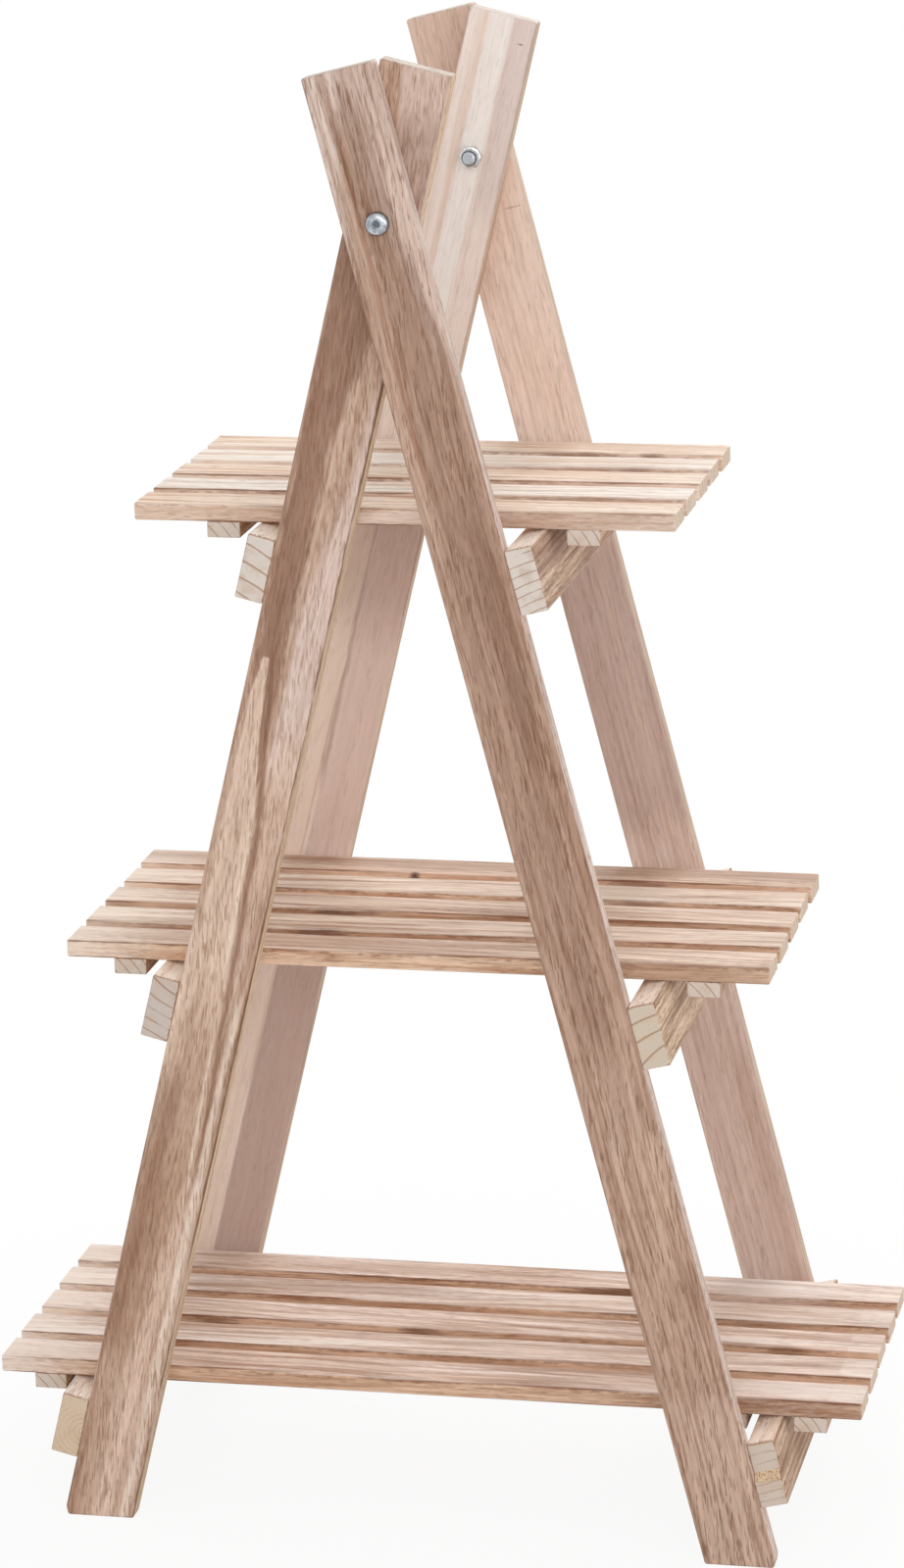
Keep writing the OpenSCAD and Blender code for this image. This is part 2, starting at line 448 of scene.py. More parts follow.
class WoodShader:
    """The node tree of a WoodFinish."""

    def __init__(self, finish: WoodFinish, graph: Graph) -> None:
        """Read the board's directions.

        Args:
            finish: The board's finish.
            graph: The tree to build.
        """
        self.finish = finish
        self.graph = graph
        grain = graph.add("ShaderNodeAttribute", {"attribute_name": GRAIN})
        self.along, self.across, self.through = graph.parts(grain.outputs["Vector"])
        self.piece = graph.signal(graph.add("ShaderNodeAttribute", {"attribute_name": PIECE}), "Fac")
        self.shift = self.piece * PIECE_SHIFT + finish.seed
        self.narrow = graph.ramp(abs(self.across), finish.faces.across - 0.5, finish.faces.across - 0.1)
        self.swayed = self.along * finish.rings.slope + self.across + self.sway()
        self.slanted = self.along * finish.slant + self.swayed

    def sway(self) -> Signal:
        """How far the grain wanders across the board."""
        wander = self.noise(0.006, 0.012, 0.012, across=self.across, detail=1.0)
        return (wander - 0.5) * (2 * self.finish.rings.waver)

    def noise(
        self,
        along: float,
        across_scale: float,
        through: float,
        across: Signal | None = None,
        detail: float = 2.0,
        offset: float = 0.0,
    ) -> Signal:
        """Noise stretched along the grain.

        Args:
            along: How often it changes along the board, per millimetre.
            across_scale: The same across the board.
            through: The same through the board.
            across: The place across the board, where it isn't the swayed one.
            detail: The noise's detail.
            offset: Moves the pattern, so that two noises of one scale differ.

        Returns:
            The noise, about 0.5 in the middle.
        """
        across = self.swayed if across is None else across
        place = self.graph.vector(
            self.along * along + (self.shift + offset),
            across * across_scale + (self.shift * 0.61 + offset),
            self.through * through + offset,
        )
        return self.graph.noise(place, detail=detail)

    def build(self) -> None:
        """Build the whole tree."""
        graph, finish = self.graph, self.finish
        fibre = self.noise(0.013, 0.50 * finish.fine, 0.50, detail=2.5, offset=29.0)
        fleck = self.noise(0.10, 0.80, 0.80, across=self.slanted, detail=2.5, offset=3.1)
        pores = self.pores()
        place = self.ring_place()
        rings = self.ring_lines(place)
        colour = self.side_grain(rings)
        for streak in finish.streaks:
            colour = graph.mix(colour, streak.colour, self.streak_mask(streak))
        if finish.beyond:
            past = graph.ramp(self.along, finish.step - 1.0, finish.step + 1.0) * 0.5
            past = graph.ramp(self.along, finish.step - FADE_BEYOND, finish.step, smooth=False) * 0.5 + past
            colour = graph.mix(colour, finish.pale, past * finish.beyond)
        colour = self.edges(colour)
        dark = graph.ramp(fibre, 0.47, 0.37) * finish.lines + graph.ramp(fleck, 0.48, 0.34) * finish.flecks
        light = graph.ramp(fibre, 0.51, 0.66) * finish.lines + graph.ramp(fleck, 0.51, 0.68) * finish.flecks
        calm = 1.0 - self.narrow * finish.edge_calm
        colour = graph.mix(colour, graph.tint(colour, STAIN), dark.least(1.0) * calm)
        colour = graph.scale(colour, 1.0 + light * calm * 0.30)
        colour = graph.mix(colour, finish.pore, pores * finish.pores)
        for mark in finish.marks:
            colour = graph.mix(colour, mark.colour, self.mark_mask(mark))
        colour = self.arrises(self.end_grain(colour, place))
        height = fibre * 0.4 + fleck * 0.4 - pores * 0.5 - rings * 0.3
        graph.surface(
            "ShaderNodeBsdfPrincipled",
            {
                "Base Color": colour,
                "Roughness": 0.62 + (fleck - 0.5) * 0.25 + pores * 0.12,
                "Specular IOR Level": 0.28,
                "Normal": graph.bump(height, 0.35, 0.4 * MM),
            },
        )

    def side_grain(self, rings: Signal) -> bpy.types.NodeSocket:
        """Bands of tone and ring lines on the faces along the grain.

        Args:
            rings: The ring lines.

        Returns:
            The colour.
        """
        graph, finish = self.graph, self.finish
        broad = self.noise(0.0028, 0.075, 0.075, offset=7.0)
        narrow = self.noise(0.008, 0.30 * finish.fine, 0.30, offset=11.0)
        tone = broad * 0.5 + narrow * 0.5
        colour = graph.mix(finish.body, finish.pale, graph.ramp(tone, 0.50, 0.61) * finish.bands)
        colour = graph.mix(colour, finish.deep, graph.ramp(tone, 0.49, 0.38) * finish.bands)
        return graph.mix(colour, finish.line, rings * finish.rings.share)

    def ring_place(self) -> Signal:
        """How far through its ring a point is, from 0 to 1 outwards.

        Returns:
            The share of the ring.
        """
        rings = self.finish.rings
        off = self.swayed - rings.across
        deep = self.through - rings.through
        distance = (off * off + deep * deep).root()
        uneven = (self.noise(0.012, 0.020, 0.020, across=self.across, detail=1.0, offset=17.0) - 0.5) * 1.6
        return (distance / rings.width + uneven).fraction()

    def ring_lines(self, place: Signal) -> Signal:
        """The dark late wood of each ring, which is sharp on its outer side.

        Args:
            place: How far through its ring a point is.

        Returns:
            The mask of the lines.
        """
        line = self.graph.ramp(place, 0.60, 0.93) * self.graph.ramp(place, 1.0, 0.94)
        strength = self.noise(0.004, 0.15, 0.15, detail=1.0, offset=23.0)
        return line * self.graph.ramp(strength, 0.32, 0.60)

    def pores(self) -> Signal:
        """Fine dark dashes along the grain, thicker in some places.

        Returns:
            The mask of the dashes.
        """
        gate = self.finish.pore_gate
        dashes = self.noise(0.085, 0.95, 0.95, across=self.slanted, detail=1.0, offset=31.0)
        where = self.noise(0.008, 0.14, 0.14, detail=1.0, offset=37.0)
        return self.graph.ramp(dashes + (where - 0.5) * 0.40, gate, gate + 0.08)

    def streak_mask(self, streak: Streak) -> Signal:
        """How much of a streak's colour shows.

        Args:
            streak: The streak.

        Returns:
            The mask, up to the streak's share.
        """
        graph = self.graph
        first, last = streak.stations[0], streak.stations[-1]
        middle: Term = first[1]
        half: Term = first[2]
        for here, there in zip(streak.stations, streak.stations[1:]):
            way = graph.ramp(self.along, here[0], there[0], smooth=False)
            middle = way * (there[1] - here[1]) + middle
            half = way * (there[2] - here[2]) + half
        ragged = (self.noise(0.05, 0.5, 0.5, offset=last[0] * 0.1) - 0.5) * (2 * streak.ragged)
        beyond = abs(self.across + ragged - middle) - half
        start = graph.ramp(self.along, first[0] - streak.fade, first[0])
        stop = graph.ramp(self.along, last[0] + streak.fade, last[0])
        return graph.ramp(beyond, streak.soft, -streak.soft) * start * stop * streak.share

    def mark_mask(self, mark: Mark) -> Signal:
        """How much of a mark's colour shows.

        Args:
            mark: The mark.

        Returns:
            The mask, up to the mark's share.
        """
        long = (self.along - mark.along) / mark.long
        wide = (self.across - mark.across) / mark.wide
        size = (long * long + wide * wide).root() + (self.noise(0.12, 0.8, 0.8, detail=3.0) - 0.5) * 1.2
        mask = self.graph.ramp(size, 1.0, 0.15) * mark.share
        if mark.piece is not None:
            mask = mask * (1.0 - abs(self.piece - mark.piece).least(1.0))
        return mask

    def edges(self, colour: bpy.types.NodeSocket) -> bpy.types.NodeSocket:
        """Turn the narrow faces to the edge colour.

        Args:
            colour: The colour so far.

        Returns:
            The colour with its narrow faces.
        """
        graph, finish = self.graph, self.finish
        patches = self.noise(0.012, 0.2, 0.22, across=self.across, detail=3.0, offset=41.0)
        shaded = graph.mix(finish.edge, finish.edge_deep, graph.ramp(patches, 0.44, 0.62))
        if finish.fringe:
            hairs = self.noise(0.16, 0.3, 0.5, detail=3.0, offset=59.0)
            gap = self.noise(0.010, 0.1, 0.1, across=self.across, detail=1.0, offset=61.0)
            depth = finish.faces.through - self.through + (0.5 - hairs) * 9.0
            hang = graph.ramp(depth, 2.6, 0.6) * graph.ramp(gap, 0.38, 0.55)
            shaded = graph.mix(shaded, finish.arris, hang * finish.fringe)
        return graph.mix(colour, shaded, self.narrow * finish.edge_share)

    def end_grain(self, colour: bpy.types.NodeSocket, place: Signal) -> bpy.types.NodeSocket:
        """Put the pale end grain with its ring lines on the board's ends.

        Args:
            colour: The colour so far.
            place: How far through its ring a point is.

        Returns:
            The colour with its ends.
        """
        graph, finish = self.graph, self.finish
        faces = finish.faces
        low = self.across * -faces.tilt + self.along
        if faces.back:
            low = low - graph.ramp(self.across, *faces.ledge, smooth=False) * faces.back
        ends = graph.ramp(self.along, faces.high - 0.25, faces.high - 0.05)
        ends = ends.most(graph.ramp(low, faces.low + 0.25, faces.low + 0.05))
        speck = self.noise(0.8, 1.1, 1.1, across=self.across, detail=3.0, offset=43.0)
        cloud = self.noise(0.1, 0.09, 0.09, across=self.across, offset=44.0)
        line = graph.ramp(place, 0.80, 0.93) * graph.ramp(place, 1.0, 0.95)
        face = graph.mix(finish.end, finish.body, graph.ramp(cloud, 0.45, 0.70) * 0.4)
        face = graph.mix(face, finish.end_line, line * graph.ramp(cloud, 0.25, 0.50) * 0.8)
        face = graph.scale(face, 0.90 + speck * 0.20)
        if finish.scorch:
            burnt = graph.ramp(low + (speck - 0.5) * 12.0, faces.low + 3.5, faces.low + 0.5) * finish.scorch
            colour = graph.mix(colour, BURN, burnt * graph.ramp(self.across, 14.0, 18.0))
        if faces.back:
            middle, half = sum(faces.ledge) / 2, (faces.ledge[1] - faces.ledge[0]) / 2
            slope = graph.ramp(abs(self.across - middle), half + 0.6, half)
            face = graph.mix(face, LEDGE, slope * 0.85)
            face = graph.mix(face, BURN, slope * graph.ramp(speck, 0.50, 0.62) * 0.8)
        return graph.mix(colour, face, ends)

    def arrises(self, colour: bpy.types.NodeSocket) -> bpy.types.NodeSocket:
        """Rub the long edges, which are dark and ragged in places and bare in others.

        Args:
            colour: The colour so far.

        Returns:
            The colour with its worn edges.
        """
        graph, finish = self.graph, self.finish
        across = finish.faces.across - abs(self.across)
        through = finish.faces.through - abs(self.through)
        rag = self.noise(0.05, 0.25, 0.25, across=self.across, detail=3.0, offset=47.0)
        near = graph.ramp(across.most(through) + (rag - 0.5) * 2.4, 1.2, 0.5)
        patch = self.noise(0.006, 0.03, 0.03, across=self.across, detail=1.0, offset=53.0)
        where = graph.ramp(patch, 0.42, 0.58)
        colour = graph.mix(colour, finish.arris, near * where * finish.arris_share)
        return graph.mix(colour, finish.pale, near * (1.0 - where) * (finish.arris_share * 0.6))


@dataclass(frozen=True)
class MetalFinish:
    """Plated or drawn steel, mottled and finely scratched.

    On a turned part its sunk places are painted dull, as shade; their radii from the axis are given in
    metres. They count only where the part is further than beyond from the stand's middle.
    """

    name: str
    bright: Rgb
    dull: Rgb
    rough: float
    grain: float
    axis: Vector | None = None
    sunk: tuple[Point, ...] = ()
    beyond: float = 0.0

    def material(self) -> bpy.types.Material:
        """Build the material, which reads Object coordinates.

        Returns:
            The material.
        """
        material, graph = new_material(self.name)
        place = graph.add("ShaderNodeTexCoord").outputs["Object"]
        fine = graph.noise(place, self.grain, 3.0)
        blotch = graph.noise(place, self.grain * 0.22)
        tone = graph.ramp(blotch * 0.65 + fine * 0.35, 0.40, 0.64)
        if self.axis is not None:
            x, y, z = graph.parts(place)
            x, z = x - self.axis.x, z - self.axis.z
            radius = (x * x + z * z).root()
            outside = graph.ramp(abs(y), self.beyond - MM, self.beyond)
            tone = tone * 0.6 * (outside * 0.8 + 0.2)
            soft = 0.35 * MM
            # Painted shade in each sunk ring, such as the socket, the outer edge of a rim or the lip inside
            # a collar.
            for inner, outer in self.sunk:
                ring = graph.ramp(radius, inner - soft, inner + soft)
                ring = ring * graph.ramp(radius, outer + soft, outer - soft)
                tone = tone.most(ring * outside * 0.9)
        graph.surface(
            "ShaderNodeBsdfPrincipled",
            {
                "Base Color": graph.mix(self.bright, self.dull, tone),
                "Metallic": 1.0,
                "Roughness": self.rough + tone * 0.18,
                "Normal": graph.bump(fine, 0.25, 0.1 * MM),
            },
        )
        return material


@dataclass(frozen=True)
class NylonFinish:
    """The dark ring of a lock nut, a little mottled."""

    name: str = "Lock nut ring nylon"
    colour: Rgb = (62, 62, 66)
    scuffed: Rgb = (98, 98, 104)
    grain: float = 900.0

    def material(self) -> bpy.types.Material:
        """Build the material, which reads Object coordinates.

        Returns:
            The material.
        """
        material, graph = new_material(self.name)
        scuff = graph.noise(graph.add("ShaderNodeTexCoord").outputs["Object"], self.grain, 3.0)
        graph.surface(
            "ShaderNodeBsdfPrincipled",
            {
                "Base Color": graph.mix(self.colour, self.scuffed, graph.ramp(scuff, 0.45, 0.7)),
                "Roughness": 0.45 + scuff * 0.2,
                "Normal": graph.bump(scuff, 0.1, 0.1 * MM),
            },
        )
        return material


# ---------------------------------------------------------------------------------------------------------
# Meshes
# ---------------------------------------------------------------------------------------------------------


def new_object(name: str, mesh: bpy.types.Mesh) -> bpy.types.Object:
    """Link a mesh to the scene under a name.

    Args:
        name: The object's name.
        mesh: Its mesh.

    Returns:
        The object.
    """
    thing = bpy.data.objects.new(name, mesh)
    bpy.context.scene.collection.objects.link(thing)
    return thing


def mesh_from(shape: bmesh.types.BMesh, name: str) -> bpy.types.Mesh:
    """Finish a bmesh, which is freed, as a mesh with its faces outwards.

    Args:
        shape: The bmesh.
        name: The mesh's name.

    Returns:
        The mesh.
    """
    bmesh.ops.recalc_face_normals(shape, faces=shape.faces)
    mesh = bpy.data.meshes.new(name)
    shape.to_mesh(mesh)
    shape.free()
    return mesh


def painted(mesh: bpy.types.Mesh, *materials: bpy.types.Material) -> bpy.types.Mesh:
    """Give a mesh these materials and no others.

    Args:
        mesh: The mesh.
        materials: Its materials, in the order of their slots.

    Returns:
        The mesh.
    """
    mesh.materials.clear()
    for material in materials:
        mesh.materials.append(material)
    return mesh


def finished(thing: bpy.types.Object) -> bpy.types.Mesh:
    """The plain mesh of an object with its modifiers worked out.

    Args:
        thing: An object, which is removed.

    Returns:
        The mesh.
    """
    graph = bpy.context.evaluated_depsgraph_get()
    mesh = bpy.data.meshes.new_from_object(thing.evaluated_get(graph), depsgraph=graph)
    bpy.data.objects.remove(thing)
    return mesh


def cut_away(thing: bpy.types.Object, plugs: bmesh.types.BMesh) -> bpy.types.Mesh:
    """Cut plugs out of an object.

    Args:
        thing: The object, which is removed.
        plugs: What is cut out of it.

    Returns:
        The mesh that is left.
    """
    cutter = new_object(f"{thing.name}_plugs", mesh_from(plugs, "plugs"))
    cut = thing.modifiers.new("Cut", "BOOLEAN")
    cut.operation = "DIFFERENCE"
    cut.solver = "EXACT"
    cut.object = cutter
    mesh = finished(thing)
    bpy.data.objects.remove(cutter)
    return mesh


def ring_of(shape: bmesh.types.BMesh, radii: Sequence[float], height: float) -> list[bmesh.types.BMVert]:
    """Points around Z, evenly turned, each at its own radius.

    Args:
        shape: What they are made in.
        radii: Their radii.
        height: Their height.

    Returns:
        The points.
    """
    turn = 2 * math.pi / len(radii)
    ring = []
    for i, radius in enumerate(radii):
        ring.append(shape.verts.new((radius * math.cos(turn * i), radius * math.sin(turn * i), height)))
    return ring


def skin(
    shape: bmesh.types.BMesh, rings: Sequence[Sequence[bmesh.types.BMVert]]
) -> list[list[bmesh.types.BMFace]]:
    """Join each ring to the next with faces. A ring of one point is a tip.

    Args:
        shape: What the rings are in.
        rings: The rings.

    Returns:
        The faces, band by band.
    """
    bands = []
    for lower, upper in zip(rings, rings[1:]):
        around = max(len(lower), len(upper))
        bands.append([])
        for i in range(around):
            j = (i + 1) % around
            below = [lower[i % len(lower)], lower[j % len(lower)]]
            above = [upper[j % len(upper)], upper[i % len(upper)]]
            corners = list(dict.fromkeys(below + above))
            if len(corners) > 2:
                bands[-1].append(shape.faces.new(corners))
    return bands


def turned(profile: Sequence[Point], facets: int) -> bmesh.types.BMesh:
    """Turn a profile about Z, as on a lathe.

    Args:
        profile: (radius, height) pairs in metres from one end to the other, the first and last on the axis.
        facets: Number of facets around.

    Returns:
        The closed shape.
    """
    shape = bmesh.new()
    skin(shape, [ring_of(shape, [radius] * (facets if radius else 1), height) for radius, height in profile])
    return shape


@dataclass(frozen=True)
class Bore:
    """A round hole through a board's thickness, or into it from one side. Metres."""

    along: float
    across: float
    radius: float
    low: float
    high: float


@dataclass
class Board:
    """A board cut to an outline of (along, across) points in metres, with eased edges and bores."""

    name: str
    outline: Sequence[Point]
    thickness: float
    ease: float
    bores: Sequence[Bore] = ()

    def mesh(self, piece: float | None = None) -> bpy.types.Mesh:
        """Cut the board in its own directions.

        Args:
            piece: Number of the piece, which moves its pattern of grain. A board that is copied has none,
                because each copy is given its own.

        Returns:
            The mesh, with its own directions in millimetres as an attribute.
        """
        shape = bmesh.new()
        levels = (-self.thickness / 2, self.thickness / 2)
        rings = [[shape.verts.new((x, y, z)) for x, y in self.outline] for z in levels]
        for ring in rings:
            shape.faces.new(ring)
        skin(shape, rings)
        board = new_object(self.name, mesh_from(shape, self.name))
        bevel = board.modifiers.new("Eased edges", "BEVEL")
        bevel.width = self.ease
        bevel.segments = 4
        bevel.limit_method = "ANGLE"
        bevel.angle_limit = math.radians(15)
        mesh = cut_away(board, self._plugs()) if self.bores else finished(board)
        self._store_grain(mesh, piece)
        return mesh

    def _plugs(self) -> bmesh.types.BMesh:
        """A plug for each bore.

        Returns:
            One shape with all of them.
        """
        plugs = bmesh.new()
        for bore in self.bores:
            place = Matrix.Translation((bore.along, bore.across, (bore.low + bore.high) / 2))
            size = {"radius1": bore.radius, "radius2": bore.radius, "depth": bore.high - bore.low}
            bmesh.ops.create_cone(plugs, cap_ends=True, segments=32, matrix=place, **size)
        return plugs

    @staticmethod
    def _store_grain(mesh: bpy.types.Mesh, piece: float | None) -> None:
        """Store the board's own directions, in millimetres, and any piece number on every point.

        Args:
            mesh: The board's mesh, not yet put in its place.
            piece: Number of the piece, where it has one of its own.
        """
        grain = mesh.attributes.new(GRAIN, "FLOAT_VECTOR", "POINT")
        grain.data.foreach_set("vector", [c / MM for vertex in mesh.vertices for c in vertex.co])
        if piece is not None:
            number = mesh.attributes.new(PIECE, "FLOAT", "POINT")
            number.data.foreach_set("value", [piece] * len(mesh.vertices))

    def place(self, where: Matrix, material: bpy.types.Material, piece: float) -> bpy.types.Object:
        """Make the board's object.

        Args:
            where: From the board's own directions to the shared frame.
            material: Its wood.
            piece: Number of the piece.

        Returns:
            The object, at the origin, with its place in its mesh.
        """
        mesh = self.mesh(piece)
        mesh.transform(where)
        return new_object(self.name, painted(mesh, material))


def rectangle(length: float, width: float) -> list[Point]:
    """The outline of a plain board about its middle."""
    x, y = length / 2, width / 2
    return [(-x, -y), (x, -y), (x, y), (-x, y)]


def directions(along: Vector, across: Vector, middle: Vector) -> Matrix:
    """The matrix from a board's own directions to the shared frame."""
    turn = Matrix((along, across, along.cross(across))).transposed().to_4x4()
    return Matrix.Translation(middle) @ turn


# ---------------------------------------------------------------------------------------------------------
# Geometry Nodes
# ---------------------------------------------------------------------------------------------------------


class NodeTool:
    """A Geometry Nodes tree with named inputs, used as a tool that leaves a plain mesh."""

    def __init__(self, name: str, inputs: dict[str, str]) -> None:
        """Start the tree.

        Args:
            name: The tree's name.
            inputs: Kinds of socket by the inputs' names.
        """
        self.tree = bpy.data.node_groups.new(name, "GeometryNodeTree")
        sockets = self.tree.interface
        for label, kind in ({"Geometry": "Geometry"} | inputs | {"Material": "Material"}).items():
            sockets.new_socket(name=label, in_out="INPUT", socket_type=f"NodeSocket{kind}")
        sockets.new_socket(name="Geometry", in_out="OUTPUT", socket_type="NodeSocketGeometry")
        self.graph = Graph(self.tree)
        self.given = self.graph.add("NodeGroupInput").outputs

    def value(self, name: str) -> Signal:
        """An input as a value that takes part in arithmetic."""
        return Signal(self.tree, self.given[name])

    def shape(self, name: str) -> bpy.types.NodeSocket:
        """The geometry of an input that is an object."""
        settings, inputs = {"transform_space": "ORIGINAL"}, {"Object": self.given[name]}
        return self.graph.add("GeometryNodeObjectInfo", settings, inputs).outputs["Geometry"]

    def end(self, instances: bpy.types.NodeSocket) -> None:
        """Close the tree: real geometry in the given material.

        Args:
            instances: The geometry so far.
        """
        real = self.graph.add("GeometryNodeRealizeInstances", None, {"Geometry": instances}).outputs[0]
        inputs = {"Geometry": real, "Material": self.given["Material"]}
        dressed = self.graph.add("GeometryNodeSetMaterial", None, inputs)
        self.graph.add("NodeGroupOutput", None, {"Geometry": dressed.outputs[0]})

    def run(self, name: str, base: bpy.types.Mesh, values: dict[str, Any]) -> bpy.types.Object:
        """Run the tree on a mesh.

        Args:
            name: The finished object's name.
            base: The mesh that goes in.
            values: Values by the inputs' names.

        Returns:
            An object with a plain mesh.
        """
        thing = new_object(name, base)
        modifier = thing.modifiers.new("Tool", "NODES")
        modifier.node_group = self.tree
        for item in self.tree.interface.items_tree:
            if item.item_type == "SOCKET" and item.in_out == "INPUT" and item.name in values:
                modifier[item.identifier] = values[item.name]
        mesh = finished(thing)
        mesh.name = name
        return new_object(name, mesh)


def slat_row_tool() -> NodeTool:
    """The tool that lays slats side by side.

    Returns:
        A tool that copies one slat along Y, each copy a hair longer or shorter, turned and numbered.
    """
    inputs = {"Slat": "Object", "Count": "Int", "Pitch": "Float", "First": "Vector", "First number": "Float"}
    inputs |= {"Number step": "Float", "Length scatter": "Float", "Turn scatter": "Float", "Seed": "Int"}
    tool = NodeTool("Row of slats", inputs)
    graph, given = tool.graph, tool.given
    pitch = graph.vector(0.0, tool.value("Pitch"), 0.0)
    line = {"Count": given["Count"], "Start Location": given["First"], "Offset": pitch}
    points = graph.add("GeometryNodeMeshLine", {"mode": "OFFSET"}, line)

    def scatter(name: str, offset: int) -> Signal:
        """A random value of either sign, up to the size given.

        Args:
            name: The input with the size.
            offset: Makes the seed its own.

        Returns:
            The value.
        """
        seed = graph.add("ShaderNodeMath", {"operation": "ADD"}, {0: given["Seed"], 1: offset})
        spread = {"Seed": seed.outputs[0], "Min_001": -1.0, "Max_001": 1.0}
        chance = graph.add("FunctionNodeRandomValue", {"data_type": "FLOAT"}, spread)
        return graph.signal(chance, "Value_001") * tool.value(name)

    copies = {
        "Points": points.outputs[0],
        "Instance": tool.shape("Slat"),
        "Rotation": graph.vector(0.0, 0.0, scatter("Turn scatter", 1)),
        "Scale": graph.vector(1.0 + scatter("Length scatter", 2), 1.0, 1.0),
    }
    row = graph.add("GeometryNodeInstanceOnPoints", None, copies)
    index = graph.signal(graph.add("GeometryNodeInputIndex"))
    number = index * tool.value("Number step") + tool.value("First number")
    numbered = graph.add(
        "GeometryNodeStoreNamedAttribute",
        {"data_type": "FLOAT", "domain": "INSTANCE"},
        {"Geometry": row.outputs[0], "Name": PIECE, "Value": number},
    )
    tool.end(numbered.outputs[0])
    return tool


def brad_tool() -> NodeTool:
    """The tool that drives brads.

    Returns:
        A tool that puts a brad on every point of a mesh, its head the way that the point's attribute gives.
    """
    tool = NodeTool("Driven brads", {"Brad": "Object"})
    graph = tool.graph
    drive = graph.add("GeometryNodeInputNamedAttribute", {"data_type": "FLOAT_VECTOR"}, {"Name": DRIVE})
    way = drive.outputs["Attribute"]
    turn = graph.add("FunctionNodeAlignRotationToVector", {"axis": "Z"}, {"Vector": way})
    copies = {
        "Points": tool.given["Geometry"],
        "Instance": tool.shape("Brad"),
        "Rotation": turn.outputs["Rotation"],
    }
    tool.end(graph.add("GeometryNodeInstanceOnPoints", None, copies).outputs[0])
    return tool


# ---------------------------------------------------------------------------------------------------------
# Sub-assemblies
# ---------------------------------------------------------------------------------------------------------


def dress(piece: bpy.types.Object, body: str, nodes: Sequence[str], slot: str) -> bpy.types.Object:
    """Let a piece ride on its body and stand for its nodes.

    Args:
        piece: The piece.
        body: The CAD body.
        nodes: The CAD nodes it replaces.
        slot: The record's material slot. Not used.

    Returns:
        The piece.
    """
    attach(piece, body)
    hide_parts(*nodes)
    log.info("%s rides on %s for %s", piece.name, body, ", ".join(nodes))
    return piece


@dataclass(frozen=True)
class Nailing:
    """Where a brad's head is and the way it looks."""

    head: Vector
    out: Vector


@dataclass
class BradSet:
    """The brads of one body."""

    body: str
    length: float
    shank: float = 1.8 * MM
    head: float = 2.8 * MM
    head_thick: float = 0.8 * MM
    head_play: float = 0.15 * MM
    sunk: float = 0.3 * MM
    crown: float = 0.28 * MM
    rim: float = 0.35 * MM
    point: float = 2.4 * MM
    tip: float = 0.1 * MM

    def recess(self, along: float, across: float, face: float) -> Bore:
        """The shallow hole that a brad's sunk head leaves in a board.

        Args:
            along: Its place along the board.
            across: Its place across the board.
            face: The face's place through the board, negative below.

        Returns:
            The bore.
        """
        way = math.copysign(1.0, face)
        low, high = sorted((face - way * (self.head_thick + self.sunk), face + way * MM))
        return Bore(along, across, self.head / 2 + self.head_play, low, high)

    def build(
        self, nailings: Sequence[Nailing], tool: NodeTool, steel: bpy.types.Material
    ) -> bpy.types.Object:
        """Drive the brads.

        Args:
            nailings: Where they go.
            tool: The tool that drives them.
            steel: Their material.

        Returns:
            One object with all of them.
        """
        node = f"{self.body}_brads"
        radius, shank, top = self.head / 2, self.shank / 2, -self.sunk
        crown = [(radius * math.sin(a), top - self.crown * (1 - math.cos(a))) for a in (0.0, 0.5, 1.0, 1.4)]
        profile = crown + [
            (radius, top - self.rim),
            (radius * 0.94, top - self.head_thick * 0.8),
            (shank, top - self.head_thick),
            (shank, -self.length + self.point),
            (shank * 0.22, -self.length + self.tip),
            (0.0, -self.length),
        ]
        brad = new_object(f"{self.body}_brad", mesh_from(turned(profile, 16), "brad"))
        points = bpy.data.meshes.new(node)
        points.from_pydata([tuple(nailing.head) for nailing in nailings], [], [])
        drive = points.attributes.new(DRIVE, "FLOAT_VECTOR", "POINT")
        drive.data.foreach_set("vector", [c for nailing in nailings for c in nailing.out])
        brads = tool.run(f"{node}_driven", points, {"Brad": brad, "Material": steel})
        bpy.data.objects.remove(brad)
        brads.data.shade_smooth()
        brads.data.set_sharp_from_angle(angle=math.radians(40))
        return dress(brads, self.body, [node], "brad_wire")


